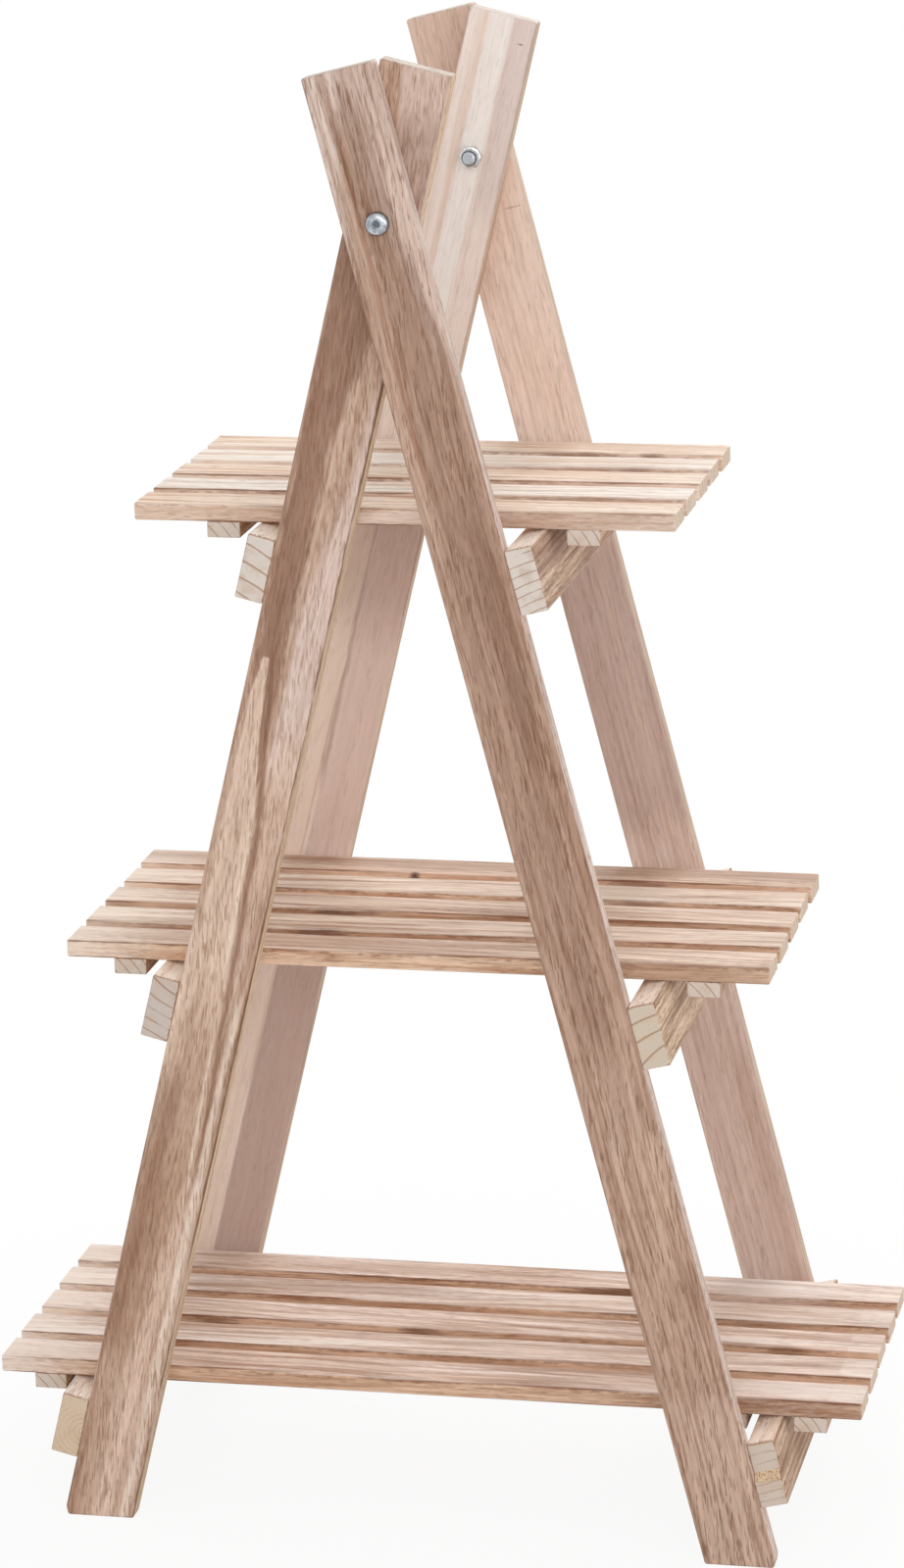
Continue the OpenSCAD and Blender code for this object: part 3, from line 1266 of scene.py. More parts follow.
@dataclass
class LadderFrame:
    """Two legs and the three crossbars nailed to their outer edges."""

    frame: Frame
    pivot: Vector
    leg_woods: dict[End, WoodFinish]
    bar_woods: dict[Tier, WoodFinish]
    leg_slots: dict[End, str]
    leg_width: float = 45 * MM
    leg_top: float = 94 * MM
    leg_ease: float = 1.5 * MM
    bolt_hole: float = 8.2 * MM
    foot_clip: Point = (2.5 * MM, 6 * MM)
    bar_height: float = 41 * MM
    bar_thick: float = 17.5 * MM
    bar_ease: float = 0.9 * MM
    brad_pitch: float = 18 * MM
    brad_grip: float = 22 * MM
    step: tuple[float, float, float] = (5 * MM, 19 * MM, 5 * MM)
    nailings: list[Nailing] = field(default_factory=list)

    @property
    def up(self) -> Vector:
        """Unit vector up the legs."""
        return Vector((self.frame.value * math.sin(LEAN), 0.0, math.cos(LEAN)))

    @property
    def side(self) -> Vector:
        """Unit vector across the legs' broad faces, to the right."""
        return Vector((math.cos(LEAN), 0.0, -self.frame.value * math.sin(LEAN)))

    @property
    def brads(self) -> BradSet:
        """The brads that hold the crossbars."""
        return BradSet(self.frame.body, self.bar_thick + self.brad_grip)

    def build(self) -> list[bpy.types.Object]:
        """Make the legs and the crossbars."""
        return [self.leg(end) for end in End] + [self.crossbar(tier) for tier in Tier]

    def leg(self, end: End) -> bpy.types.Object:
        """Cut one leg: square on top, level at the foot, its sharp outer corner clipped.

        Args:
            end: Front or rear.

        Returns:
            The leg's object.
        """
        node = f"{end.name.lower()}_{self.frame.name.lower()}_leg"
        low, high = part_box(node)
        thick = high.y - low.y
        where = directions(self.up, self.side, Vector((self.pivot.x, (low.y + high.y) / 2, self.pivot.z)))
        hole = Bore(0.0, 0.0, self.bolt_hole / 2, -thick, thick)
        board = Board(f"{node}_board", self.leg_outline(), thick, self.leg_ease, [hole])
        leg = board.place(where, self.leg_woods[end].material(), end.value)
        return dress(leg, self.frame.body, [node], self.leg_slots[end])

    def leg_outline(self) -> list[Point]:
        """The leg's outline along and across, from the pivot.

        Returns:
            Its points.
        """
        tilt = self.frame.value * math.tan(LEAN)

        def floor(across: float) -> float:
            """Where the floor cuts the leg, along it."""
            return -self.pivot.z / math.cos(LEAN) + across * tilt

        clip, clip_high = self.foot_clip
        outer = -self.frame.value * self.leg_width / 2
        corner = floor(outer)
        clipped = (corner + clip * math.sin(LEAN), outer + self.frame.value * clip * math.cos(LEAN))
        foot = [(corner + clip_high, outer), clipped, (floor(-outer), -outer)]
        return foot + [(self.leg_top, -outer), (self.leg_top, outer)]

    def crossbar(self, tier: Tier) -> bpy.types.Object:
        """Cut one crossbar and mark its brads.

        Args:
            tier: Which of the three.

        Returns:
            The crossbar's object.
        """
        node = f"{tier.name.lower()}_{self.frame.side}_crossbar"
        low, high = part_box(node)
        leg_low, leg_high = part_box(f"front_{self.frame.name.lower()}_leg")
        half = abs(leg_low.y)
        middle = Vector(((low.x + high.x) / 2, 0.0, (low.z + high.z) / 2))
        where = directions(Vector((0.0, 1.0, 0.0)), self.up, middle)
        outline = self.bar_outline(half, half - high.y, stepped=low.y < -half + MM and high.y < half - MM)
        face = -self.frame.value * self.bar_thick / 2
        leg_y = half - (leg_high.y - leg_low.y) / 2
        bores = []
        for along in (-leg_y, leg_y):
            for across in (-self.brad_pitch / 2, self.brad_pitch / 2):
                bores.append(self.brads.recess(along, across, face))
                head = where @ Vector((along, across, face))
                self.nailings.append(Nailing(head, -self.frame.value * self.side))
        board = Board(f"{node}_board", outline, self.bar_thick, self.bar_ease, bores)
        bar = board.place(where, self.bar_woods[tier].material(), tier.value)
        return dress(bar, self.frame.body, [node], "crossbar_tan")

    def bar_outline(self, half: float, short: float, stepped: bool) -> list[Point]:
        """A crossbar's outline.

        Args:
            half: Half its full length.
            short: How much its rear end stops short.
            stepped: Whether its front end has the step and the sloping ledge.

        Returns:
            The outline along and across, about its middle.
        """
        top = self.bar_height / 2
        back, height, ledge = self.step
        front = [(-half, top), (-half, -top)]
        if stepped:
            upper = [(-half + back, top), (-half + back, top - height)]
            front = upper + [(-half, top - height - ledge), (-half, -top)]
        return front + [(half - short, -top), (half - short, top)]


@dataclass
class Shelf:
    """Five slats on their battens, lifted off the crossbars as one."""

    tier: Tier
    peach: WoodFinish
    cream: WoodFinish
    batten: bpy.types.Material
    slat_ease: float = 1.1 * MM
    batten_ease: float = 0.7 * MM
    brad_spread: Point = (4 * MM, 8 * MM)
    slat_grip: float = 7.5 * MM
    length_scatter: float = 0.0018
    turn_scatter: float = 0.0012
    nailings: list[Nailing] = field(default_factory=list)

    @property
    def name(self) -> str:
        """Name of the shelf's body."""
        return self.tier.body

    @property
    def brads(self) -> BradSet:
        """The brads that hold the slats."""
        low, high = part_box(f"{self.name}_left_batten")
        return BradSet(self.name, high.z - low.z + self.slat_grip)

    def build(self, tool: NodeTool) -> list[bpy.types.Object]:
        """Make the slats and the battens.

        Args:
            tool: The tool that lays slats side by side.

        Returns:
            Their objects.
        """
        odd = self.slats(tool, (1, 3, 5), self.peach, "peach")
        even = self.slats(tool, (2, 4), self.cream, "cream")
        sides = ["left", "right"] + (["inner"] if self.tier is Tier.BOTTOM else [])
        return [odd, even] + [self.batten_board(side, i) for i, side in enumerate(sides)]

    def slats(
        self, tool: NodeTool, numbers: Sequence[int], finish: WoodFinish, tone: str
    ) -> bpy.types.Object:
        """Lay every other slat of the shelf.

        Args:
            tool: The tool that lays slats side by side.
            numbers: The slats' numbers, from the front.
            finish: Their wood.
            tone: Its tone's name.

        Returns:
            One object with these slats.
        """
        nodes = [f"{self.name}_slat_{i}" for i in numbers]
        low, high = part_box(nodes[0])
        size = high - low
        board = Board(f"{self.name}_slat", rectangle(size.x, size.y), size.z, self.slat_ease)
        slat = new_object(f"{self.name}_one_slat", board.mesh())
        values = {
            "Slat": slat,
            "Count": len(numbers),
            "Pitch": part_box(nodes[1])[0].y - low.y,
            "First": (low + high) / 2,
            "First number": float(numbers[0]),
            "Number step": float(numbers[1] - numbers[0]),
            "Length scatter": self.length_scatter,
            "Turn scatter": self.turn_scatter,
            "Seed": 5 * self.tier.value + numbers[0],
            "Material": finish.material(),
        }
        row = tool.run(f"{self.name}_{tone}_slats", bpy.data.meshes.new("start"), values)
        bpy.data.objects.remove(slat)
        return dress(row, self.name, nodes, f"slat_{tone}")

    def batten_board(self, side: str, number: int) -> bpy.types.Object:
        """Cut one batten and mark its brads.

        Args:
            side: Left, right or inner.
            number: Number of the piece.

        Returns:
            The batten's object.
        """
        node = f"{self.name}_{side}_batten"
        low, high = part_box(node)
        size = high - low
        where = directions(Vector((0.0, 1.0, 0.0)), Vector((-1.0, 0.0, 0.0)), (low + high) / 2)
        below = -size.z / 2
        bores = []
        for i in range(1, 6):
            slat_low, slat_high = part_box(f"{self.name}_slat_{i}")
            for way in (-1, 1):
                along = (slat_low.y + slat_high.y) / 2 + way * self.brad_spread[1]
                across = -way * self.brad_spread[0]
                bores.append(self.brads.recess(along, across, below))
                head = where @ Vector((along, across, below))
                self.nailings.append(Nailing(head, Vector((0.0, 0.0, -1.0))))
        board = Board(f"{node}_board", rectangle(size.y, size.x), size.z, self.batten_ease, bores)
        piece = board.place(where, self.batten, number + len(Tier) * self.tier.value)
        return dress(piece, self.name, [node], "batten_tan")


@dataclass
class PivotHardware:
    """The domed bolt through both legs at one end, and its lock nut."""

    end: End
    pivot: Vector
    bolt_zinc: bpy.types.Material
    nut_zinc: bpy.types.Material
    nylon: bpy.types.Material
    shank: float = 8.0 * MM
    head: float = 14.6 * MM
    head_high: float = 4.4 * MM
    head_ease: float = 0.2 * MM
    socket: float = 5.0 * MM
    socket_deep: float = 2.6 * MM
    thread_pitch: float = 1.25 * MM
    thread_long: float = 12 * MM
    thread_lead: float = 0.9 * MM
    nut_flats: float = 13.0 * MM
    nut_high: float = 5.4 * MM
    nut_play: float = 0.05 * MM
    corner_reach: float = 0.155
    collar: float = 11.4 * MM
    collar_high: float = 2.6 * MM

    def build(self) -> list[bpy.types.Object]:
        """Make the bolt and the nut.

        Returns:
            Their objects.
        """
        end = self.end.name.lower()
        bolt = self.set_out(f"{end}_bolt_domed", self.bolt_mesh(), f"{end}_pivot_bolt", outer=True)
        nut = self.set_out(f"{end}_nut_locking", self.nut_mesh(), f"{end}_lock_nut", outer=False)
        return [bolt, nut]

    def set_out(self, name: str, mesh: bpy.types.Mesh, node: str, outer: bool) -> bpy.types.Object:
        """Put a turned part on the pivot's axis.

        Args:
            name: The piece's name.
            mesh: Its mesh along Z, which starts at the face that it bears on and rises away from the wood.
            node: The CAD node it stands for.
            outer: Whether it bears on the outside of the stand.

        Returns:
            The piece.
        """
        low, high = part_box(node)
        rim = self.head_high if outer else 0.0
        face = low.y + rim if self.end is End.FRONT else high.y - rim
        way = self.end.value if outer else -self.end.value
        turn = Matrix.Rotation(-way * math.pi / 2, 4, "X")
        mesh.transform(Matrix.Translation((self.pivot.x, face, self.pivot.z)) @ turn)
        mesh.shade_smooth()
        mesh.set_sharp_from_angle(angle=math.radians(35))
        return dress(new_object(name, mesh), Frame.OUTER.body, [node], "zinc")

    def bolt_mesh(self) -> bpy.types.Mesh:
        """The domed head with its hexagon socket, the shank and its thread.

        Returns:
            The bolt along Z, its head's bearing face at 0.
        """
        low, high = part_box(f"{self.end.name.lower()}_pivot_bolt")
        length = high.y - low.y - self.head_high
        plain = length - self.thread_long
        radius, flat, ease = self.head / 2, self.socket * 0.8, self.head_ease
        dome = []
        for turn in (math.radians(9 * i) for i in range(1, 11)):
            high_up = self.head_high * (0.16 + 0.84 * math.sin(turn))
            dome.append((radius - (radius - flat) * (1 - math.cos(turn)), high_up))
        profile = [
            (0.0, -plain - ease),
            (self.shank * 0.42, -plain - ease),
            (self.shank / 2, -plain),
            (self.shank / 2, 0.0),
            (radius - ease, 0.0),
            (radius, ease),
            (radius, self.head_high * 0.14),
            *dome,
            (0.0, self.head_high),
        ]
        head = new_object("head", mesh_from(turned(profile, 64), "head"))
        key = bmesh.new()
        corner = self.socket / 2 / math.cos(math.pi / 6)
        size = {"radius1": corner, "radius2": corner * 1.02, "depth": self.socket_deep * 2}
        place = Matrix.Translation((0.0, 0.0, self.head_high))
        bmesh.ops.create_cone(key, cap_ends=True, segments=6, matrix=place, **size)
        shape = bmesh.new()
        shape.from_mesh(cut_away(head, key))
        self.add_thread(shape, -length, -plain)
        return painted(mesh_from(shape, "bolt"), self.bolt_zinc)

    def add_thread(self, shape: bmesh.types.BMesh, low: float, high: float) -> None:
        """Add the threaded length of the bolt, closed at both ends.

        Args:
            shape: The bolt so far.
            low: Where the tip is.
            high: Where the thread starts.
        """
        around, steps = 40, 96
        crest, depth = self.shank / 2, self.thread_pitch * 0.5
        rings = []
        for k in range(steps + 1):
            z = low + (high - low) * k / steps
            lead = min(1.0, (z - low) / self.thread_lead + 0.15)
            radii = []
            for i in range(around):
                phase = (z / self.thread_pitch - i / around) % 1.0
                groove = depth * min(1.0, 2.4 * abs(phase - 0.5))
                radii.append(min(crest - groove, crest * (0.74 + 0.26 * lead)))
            rings.append(ring_of(shape, radii, z))
        skin(shape, rings)
        shape.faces.new(list(reversed(rings[0])))
        shape.faces.new(rings[-1])

    def nut_mesh(self) -> bpy.types.Mesh:
        """The lock nut: a hexagon with chamfered corners, a rolled collar and a dark ring inside it.

        Returns:
            The nut along Z, its bearing face at 0.
        """
        around = 96
        bore = self.shank / 2 + self.nut_play
        collar, top, high = self.collar / 2, self.nut_high + self.collar_high, self.nut_high / MM
        rows = []
        for z in (0.0, 0.25, 0.5, 0.8, 3.2, 4.4, 4.8, 5.1):
            chamfer = min(1.0, (z + 0.15) / 0.95, (high - z + 0.1) / 1.1)
            reach = self.nut_flats / 2 * (1.0 + self.corner_reach * chamfer)
            rows.append(([min(self._hexagon(i / around), reach) for i in range(around)], z * MM))
        for radius, z in (
            (collar + 0.1 * MM, self.nut_high),
            (collar, self.nut_high + 0.5 * MM),
            (collar, top - 0.7 * MM),
            (collar - 0.25 * MM, top - 0.2 * MM),
            (collar - 0.7 * MM, top),
            (collar - 1.0 * MM, top - 0.1 * MM),
            (collar - 1.1 * MM, top - 0.5 * MM),
            (bore, top - 0.55 * MM),
            (bore, 0.0),
        ):
            rows.append(([radius] * around, z))
        shape = bmesh.new()
        rings = [ring_of(shape, radii, z) for radii, z in rows]
        bands = skin(shape, rings + rings[:1])
        for face in bands[-3]:
            face.material_index = 1
        return painted(mesh_from(shape, "nut"), self.nut_zinc, self.nylon)

    def _hexagon(self, turn: float) -> float:
        """Distance from the middle to the hexagon's side at a share of a turn."""
        angle = (turn * 6) % 1.0 * math.pi / 3 - math.pi / 6
        return self.nut_flats / 2 / math.cos(angle)


# ---------------------------------------------------------------------------------------------------------
# Studio
# ---------------------------------------------------------------------------------------------------------


@dataclass(frozen=True)
class Lamp:
    """A soft square lamp that points at the middle of the stand. Metres and watts."""

    name: str
    place: Point3
    size: float
    power: float
    aim: Point3 = (0.0, 0.0, 0.45)

    def hang(self) -> None:
        """Put the lamp in the scene."""
        data = bpy.data.lights.new(self.name, "AREA")
        data.shape = "SQUARE"
        data.size = self.size
        data.energy = self.power
        thing = bpy.data.objects.new(self.name, data)
        thing.location = self.place
        thing.rotation_euler = (Vector(self.aim) - Vector(self.place)).to_track_quat("-Z", "Y").to_euler()
        bpy.context.scene.collection.objects.link(thing)


@dataclass
class Studio:
    """A pale floor, soft light from above the front, and the photograph's viewpoint."""

    eye: Point3 = (0.693539, -3.151625, 1.331832)
    azimuth: float = 12.337
    elevation: float = 15.077
    roll: float = -1.35
    focal_pixels: float = 5309.653
    sensor: float = 36.0
    fill: float = 0.66
    floor_radius: float = 16.0
    shadow_reach: Point = (0.20, 0.75)
    lamps: tuple[Lamp, ...] = (
        Lamp("Key", (0.55, -2.9, 1.7), 1.8, 20.0),
        Lamp("Back", (0.3, 2.3, 2.0), 1.6, 34.0),
        Lamp("Side", (2.3, -1.6, 1.3), 1.2, 9.0),
    )

    def build(self) -> None:
        """Set up everything that isn't the object."""
        bpy.context.scene.view_settings.view_transform = "Standard"
        self.camera()
        self.floor()
        for lamp in self.lamps:
            lamp.hang()
        self.world()

    def camera(self) -> None:
        """Put the camera where the photograph was taken from."""
        azimuth, elevation = math.radians(self.azimuth), math.radians(self.elevation)
        roll = math.radians(self.roll)
        flat = math.cos(elevation)
        look = Vector((-math.sin(azimuth) * flat, math.cos(azimuth) * flat, -math.sin(elevation)))
        level = Vector((math.cos(azimuth), math.sin(azimuth), 0.0))
        rise = level.cross(look)
        right = math.cos(roll) * level + math.sin(roll) * rise
        up = math.cos(roll) * rise - math.sin(roll) * level
        turn = Matrix((right, up, -look)).transposed().to_4x4()
        data = bpy.data.cameras.new("Viewpoint")
        data.sensor_fit = "VERTICAL"
        data.sensor_height = self.sensor
        data.lens = self.focal_pixels / PHOTO_HEIGHT * self.sensor
        data.clip_start, data.clip_end = 0.05, 100.0
        camera = bpy.data.objects.new("Viewpoint", data)
        camera.matrix_world = Matrix.Translation(self.eye) @ turn
        bpy.context.scene.collection.objects.link(camera)
        bpy.context.scene.camera = camera

    def floor(self) -> None:
        """Lay the floor, which shows white where no shadow falls."""
        shape = bmesh.new()
        bmesh.ops.create_circle(shape, cap_ends=True, segments=96, radius=self.floor_radius)
        floor = new_object("studio_floor", mesh_from(shape, "studio_floor"))
        material, graph = new_material("Studio floor")
        place = graph.add("ShaderNodeTexCoord").outputs["Object"]
        colour = graph.mix((244, 244, 243), (240, 240, 240), graph.noise(place, 3.0))
        matt = graph.add("ShaderNodeBsdfDiffuse", None, {"Color": colour})
        white = graph.add("ShaderNodeEmission", None, {"Color": WHITE, "Strength": 1.0})
        x, y, _ = graph.parts(place)
        away = graph.ramp((x * x + y * y).root(), *self.shadow_reach)
        seen = self.seen(graph) * (0.90 + away * 0.10)
        graph.surface("ShaderNodeMixShader", {0: seen, 1: matt.outputs[0], 2: white.outputs[0]})
        floor.data.materials.append(material)

    @staticmethod
    def seen(graph: Graph) -> Signal:
        """1 for the rays that show the background: from the camera, off metal and through glass.

        Args:
            graph: The tree to add it to.

        Returns:
            The mask.
        """
        path = graph.add("ShaderNodeLightPath")
        rays = [graph.signal(path, f"Is {kind} Ray") for kind in ("Camera", "Glossy", "Transmission")]
        return rays[0].most(rays[1]).most(rays[2])

    def world(self) -> None:
        """Light the room evenly, with a white background."""
        world = bpy.data.worlds.new("Studio")
        bpy.context.scene.world = world
        world.use_nodes = True
        world.node_tree.nodes.clear()
        graph = Graph(world.node_tree)
        fill, white = (
            graph.add("ShaderNodeBackground", None, {"Color": WHITE, "Strength": strength}).outputs[0]
            for strength in (self.fill, 1.0)
        )
        graph.surface("ShaderNodeMixShader", {0: self.seen(graph), 1: fill, 2: white}, output="OutputWorld")


# ---------------------------------------------------------------------------------------------------------
# This stand's boards
# ---------------------------------------------------------------------------------------------------------

# Places on a board in millimetres: below a leg's foot and at its top, along it from the pivot, and the front
# of a slat, across it from its middle
FOOT = -884
HEAD = 94
SLAT_FRONT = -16.5


def leg_faces(frame: Frame, pivot: Vector) -> Faces:
    """Where a leg's faces are, from the pivot."""
    foot = -pivot.z / math.cos(LEAN) / MM
    return Faces(foot, HEAD, across=22.5, through=7, tilt=frame.value * math.tan(LEAN))


def brown_leg(faces: Faces) -> WoodFinish:
    """The front outer leg's wood."""
    return WoodFinish(
        name="Front outer leg wood", faces=faces, pale=(206, 178, 160), body=(186, 155, 136),
        deep=(142, 106, 84), seed=12, pore=(122, 84, 62), pores=0.6, pore_gate=0.6, bands=0.3, lines=0.55,
        flecks=0.34, fine=0.9, slant=-0.12, edge=(226, 207, 196), edge_deep=(206, 182, 168), edge_share=0.9,
        rings=Rings(across=-90, through=60, slope=0.006, width=4.2, share=0.18, waver=5),
        streaks=(
            Streak((214, 192, 180), ((-60, 20, 8), (HEAD, 8, 18)), 0.62, 5, fade=60),
            Streak((222, 203, 192), ((20, -22, 4), (HEAD, -13, 13)), 0.75, 4, fade=60),
            Streak(
                (134, 96, 75), ((-500, -2, 10), (-390, -4, 13), (-290, 1, 16), (-60, 4, 13), (50, -2, 8)),
                0.44, 5, 6, fade=60,
            ),
            Streak((146, 100, 74), ((-150, -13, 1.4), (HEAD, -9, 1)), 0.65, 1.6),
            Streak((120, 82, 62), ((-330, 6, 5), (-200, 7, 4)), 0.4, 5, 7),
            Streak((142, 104, 82), ((-700, 16, 5), (-660, 15, 6)), 0.4, 5, 5),
            Streak((150, 114, 92), ((-486, 18, 7), (-340, 18, 7)), 0.4, 5, 5),
            Streak((214, 186, 168), ((FOOT, 2, 22), (-780, 6, 18)), 0.5, 5, 5),
            Streak((216, 186, 164), ((-660, 12, 10), (-600, 12, 10)), 0.5, 5, 5),
        ),
        marks=(Mark(-660, -20.5, 9, 1.6, (130, 92, 70), 0.6), Mark(-860, -20, 9, 1.8, (124, 86, 64))),
    )


def dark_leg(faces: Faces) -> WoodFinish:
    """The front inner leg's wood."""
    return WoodFinish(
        name="Front inner leg wood", faces=faces, pale=(222, 198, 182), body=(192, 160, 140),
        deep=(138, 99, 75), seed=47, pore=(142, 102, 76), pores=0.5, pore_gate=0.58, bands=0.35, lines=0.28,
        flecks=0.44, slant=0.16, edge=(230, 205, 172), edge_deep=(210, 180, 146), edge_share=0.85,
        edge_calm=0.6, arris_share=0.8,
        rings=Rings(across=60, through=50, slope=-0.016, width=4.6, share=0.25, waver=6),
        streaks=(
            Streak(
                (224, 202, 192), ((-345, 13, 10), (-250, 12, 9), (-160, 20, 4), (-90, 24, 4)), 0.75, 3, 3,
            ),
            Streak((218, 194, 182), ((-60, 20, 6), (20, 15, 9), (HEAD, 6, 15)), 0.72, 3),
            Streak(
                (128, 88, 66),
                ((-420, -5, 3), (-280, -10, 9), (-150, -12, 10), (-60, -6, 16), (40, -13, 9)), 0.68, 3, 5,
            ),
            Streak(
                (226, 200, 180),
                ((FOOT, -4, 12), (-636, -5, 17.5), (-393, -10, 12.5), (-330, -13.5, 7), (-284, -12.5, 2)),
                0.8, 0.7, 1, fade=2,
            ),
            Streak(
                (160, 120, 94), ((FOOT, -14, 9), (-730, -12, 10), (-640, -5, 15), (-560, -2, 13)), 0.5, 6,
                9, fade=80,
            ),
            Streak((150, 106, 80), ((-445, -22, 3.5), (-330, -21, 3.5)), 0.4, 2),
            # Painted shadow over the right half of the leg, just above the pivot.
            Streak((166, 138, 124), ((16, 14, 12), (50, 12, 14)), 0.65, 4),
            Streak((162, 122, 94), ((-735, -4, 16), (-640, -2, 18)), 0.42, 5, 8, fade=50),
            Streak((222, 193, 173), ((-420, 15, 7), (-345, 14, 8)), 0.6, 3),
            Streak((236, 216, 198), ((-636, 10, 0.9), (-393, 0.5, 0.9)), 0.7, 1, 0.6),
            Streak((126, 86, 62), ((-636, 15, 1), (-393, 5.5, 1.6), (-284, -8, 1.2)), 0.6, 1.2),
            Streak((136, 96, 72), ((-740, -18, 6), (-580, -14, 8)), 0.5, 4, 6),
            Streak((222, 193, 175), ((FOOT, 8, 16), (-640, 16, 8)), 0.6, 6, 4),
            Streak((234, 215, 198), ((FOOT, 15.5, 2.6), (-520, 17, 2.2)), 0.7, 1.4, 1),
            Streak((118, 82, 60), ((FOOT, 22, 0.6), (-330, 22, 0.9), (-40, 22, 1)), 0.85, 0.6, 1.8),
        ),
    )


def pale_leg(faces: Faces) -> WoodFinish:
    """The rear inner leg's wood, with painted shade under the shelves."""
    return WoodFinish(
        name="Rear inner leg wood", faces=faces, pale=(248, 236, 226), body=(240, 222, 211),
        deep=(212, 186, 172), seed=83, pores=0.12, bands=0.3, lines=0.08, flecks=0.07, line=(186, 152, 132),
        edge=(210, 182, 150), edge_share=0.8, arris_share=0.3,
        rings=Rings(across=5, through=90, slope=0.004, width=7, share=0.1, waver=3),
        streaks=(
            Streak((245, 236, 229), ((-240, -2, 6.5), (HEAD, -1, 8)), 0.9, 1.2, 0.5),
            Streak((224, 190, 164), ((-400, -11, 0.8), (HEAD, -11, 1.6)), 0.38, 1.6, 0.8),
            Streak((220, 200, 193), ((-20, 17, 9), (HEAD, 17, 9.5)), 0.7, 1, 0.4),
            # Darker below the middle shelf and between the shelves: the wood's own tone, deepened by painted
            # shade from the shelves above.
            Streak((194, 166, 153), ((FOOT, 7, 16.5), (-510, 7, 16.5)), 0.85, 1, 0.4),
            Streak((226, 200, 188), ((-490, 8, 15.5), (-255, 9, 14.5)), 0.85, 1, 0.4),
            Streak(
                (240, 217, 200), ((FOOT, -17.5, 5.5), (-500, -17, 6.5), (-380, -15, 9), (-255, -16, 8)),
                0.8, 0.8, 0.4,
            ),
            Streak((208, 168, 138), ((-640, -10.5, 0.5), (-390, -10, 0.5)), 0.6, 0.8, 0.5),
            # Painted shadow of the top shelf: a darker band right across the leg under it.
            Streak((182, 152, 138), ((-290, 0, 30), (-240, 0, 30)), 0.5, 3, fade=60),
            Streak((158, 126, 116), ((-420, -7.5, 1.6), (-250, -8, 1.2)), 0.55, 1.6),
        ),
        marks=(Mark(78, 15, 0.8, 2.6, (110, 84, 70)), Mark(-718, 6, 5, 0.7, (128, 98, 82), 0.6)),
    )


def pink_leg(faces: Faces) -> WoodFinish:
    """The rear outer leg's wood, with painted light above the top shelf and painted shade below it."""
    return WoodFinish(
        name="Rear outer leg wood", faces=faces, pale=(236, 213, 200), body=(219, 194, 182),
        deep=(190, 157, 141), seed=131, pores=0.2, bands=0.4, lines=0.2, flecks=0.14, slant=-0.06,
        line=(190, 152, 130), edge=(216, 190, 160), arris_share=0.25,
        rings=Rings(across=-300, through=30, slope=0, width=7, share=0.22, waver=2),
        streaks=(
            # Painted light: paler right across the leg above the top shelf.
            Streak((244, 219, 203), ((-215, 0, 30), (HEAD, 0, 30)), 0.8, 5, fade=30),
            Streak((200, 168, 152), ((62, 0, 30), (HEAD, 0, 30)), 0.4, 5, fade=40),
            Streak((198, 158, 134), ((20, 0, 22), (HEAD, -4, 18)), 0.3, 5, fade=60),
            # Painted shade: a darker band right across the leg under the top shelf.
            Streak((188, 164, 154), ((-440, 0, 30), (-285, 0, 30)), 0.6, 5, fade=40),
            Streak((192, 165, 152), ((-740, 6, 20), (-630, 6, 20)), 0.3, 5, fade=50),
            Streak((214, 180, 160), ((-700, 9, 1.4), (-60, 7, 1.2)), 0.35, 1.4),
            Streak((206, 172, 154), ((-600, -8, 0.8), (-100, -9, 1)), 0.3, 1.2),
            Streak((186, 150, 130), ((FOOT, 16, 4), (-640, 13, 5)), 0.35, 4, 6),
        ),
        marks=(Mark(-39.5, 14, 0.7, 9, (150, 120, 104), 0.6),),
    )


def leg_finishes(pivot: Vector) -> dict[Frame, dict[End, WoodFinish]]:
    """The four legs' wood, each board by its own figure.

    Args:
        pivot: The pivots' height and place.

    Returns:
        The finishes by frame and end.
    """
    outer, inner = leg_faces(Frame.OUTER, pivot), leg_faces(Frame.INNER, pivot)
    return {
        Frame.OUTER: {End.FRONT: brown_leg(outer), End.REAR: pink_leg(outer)},
        Frame.INNER: {End.FRONT: dark_leg(inner), End.REAR: pale_leg(inner)},
    }


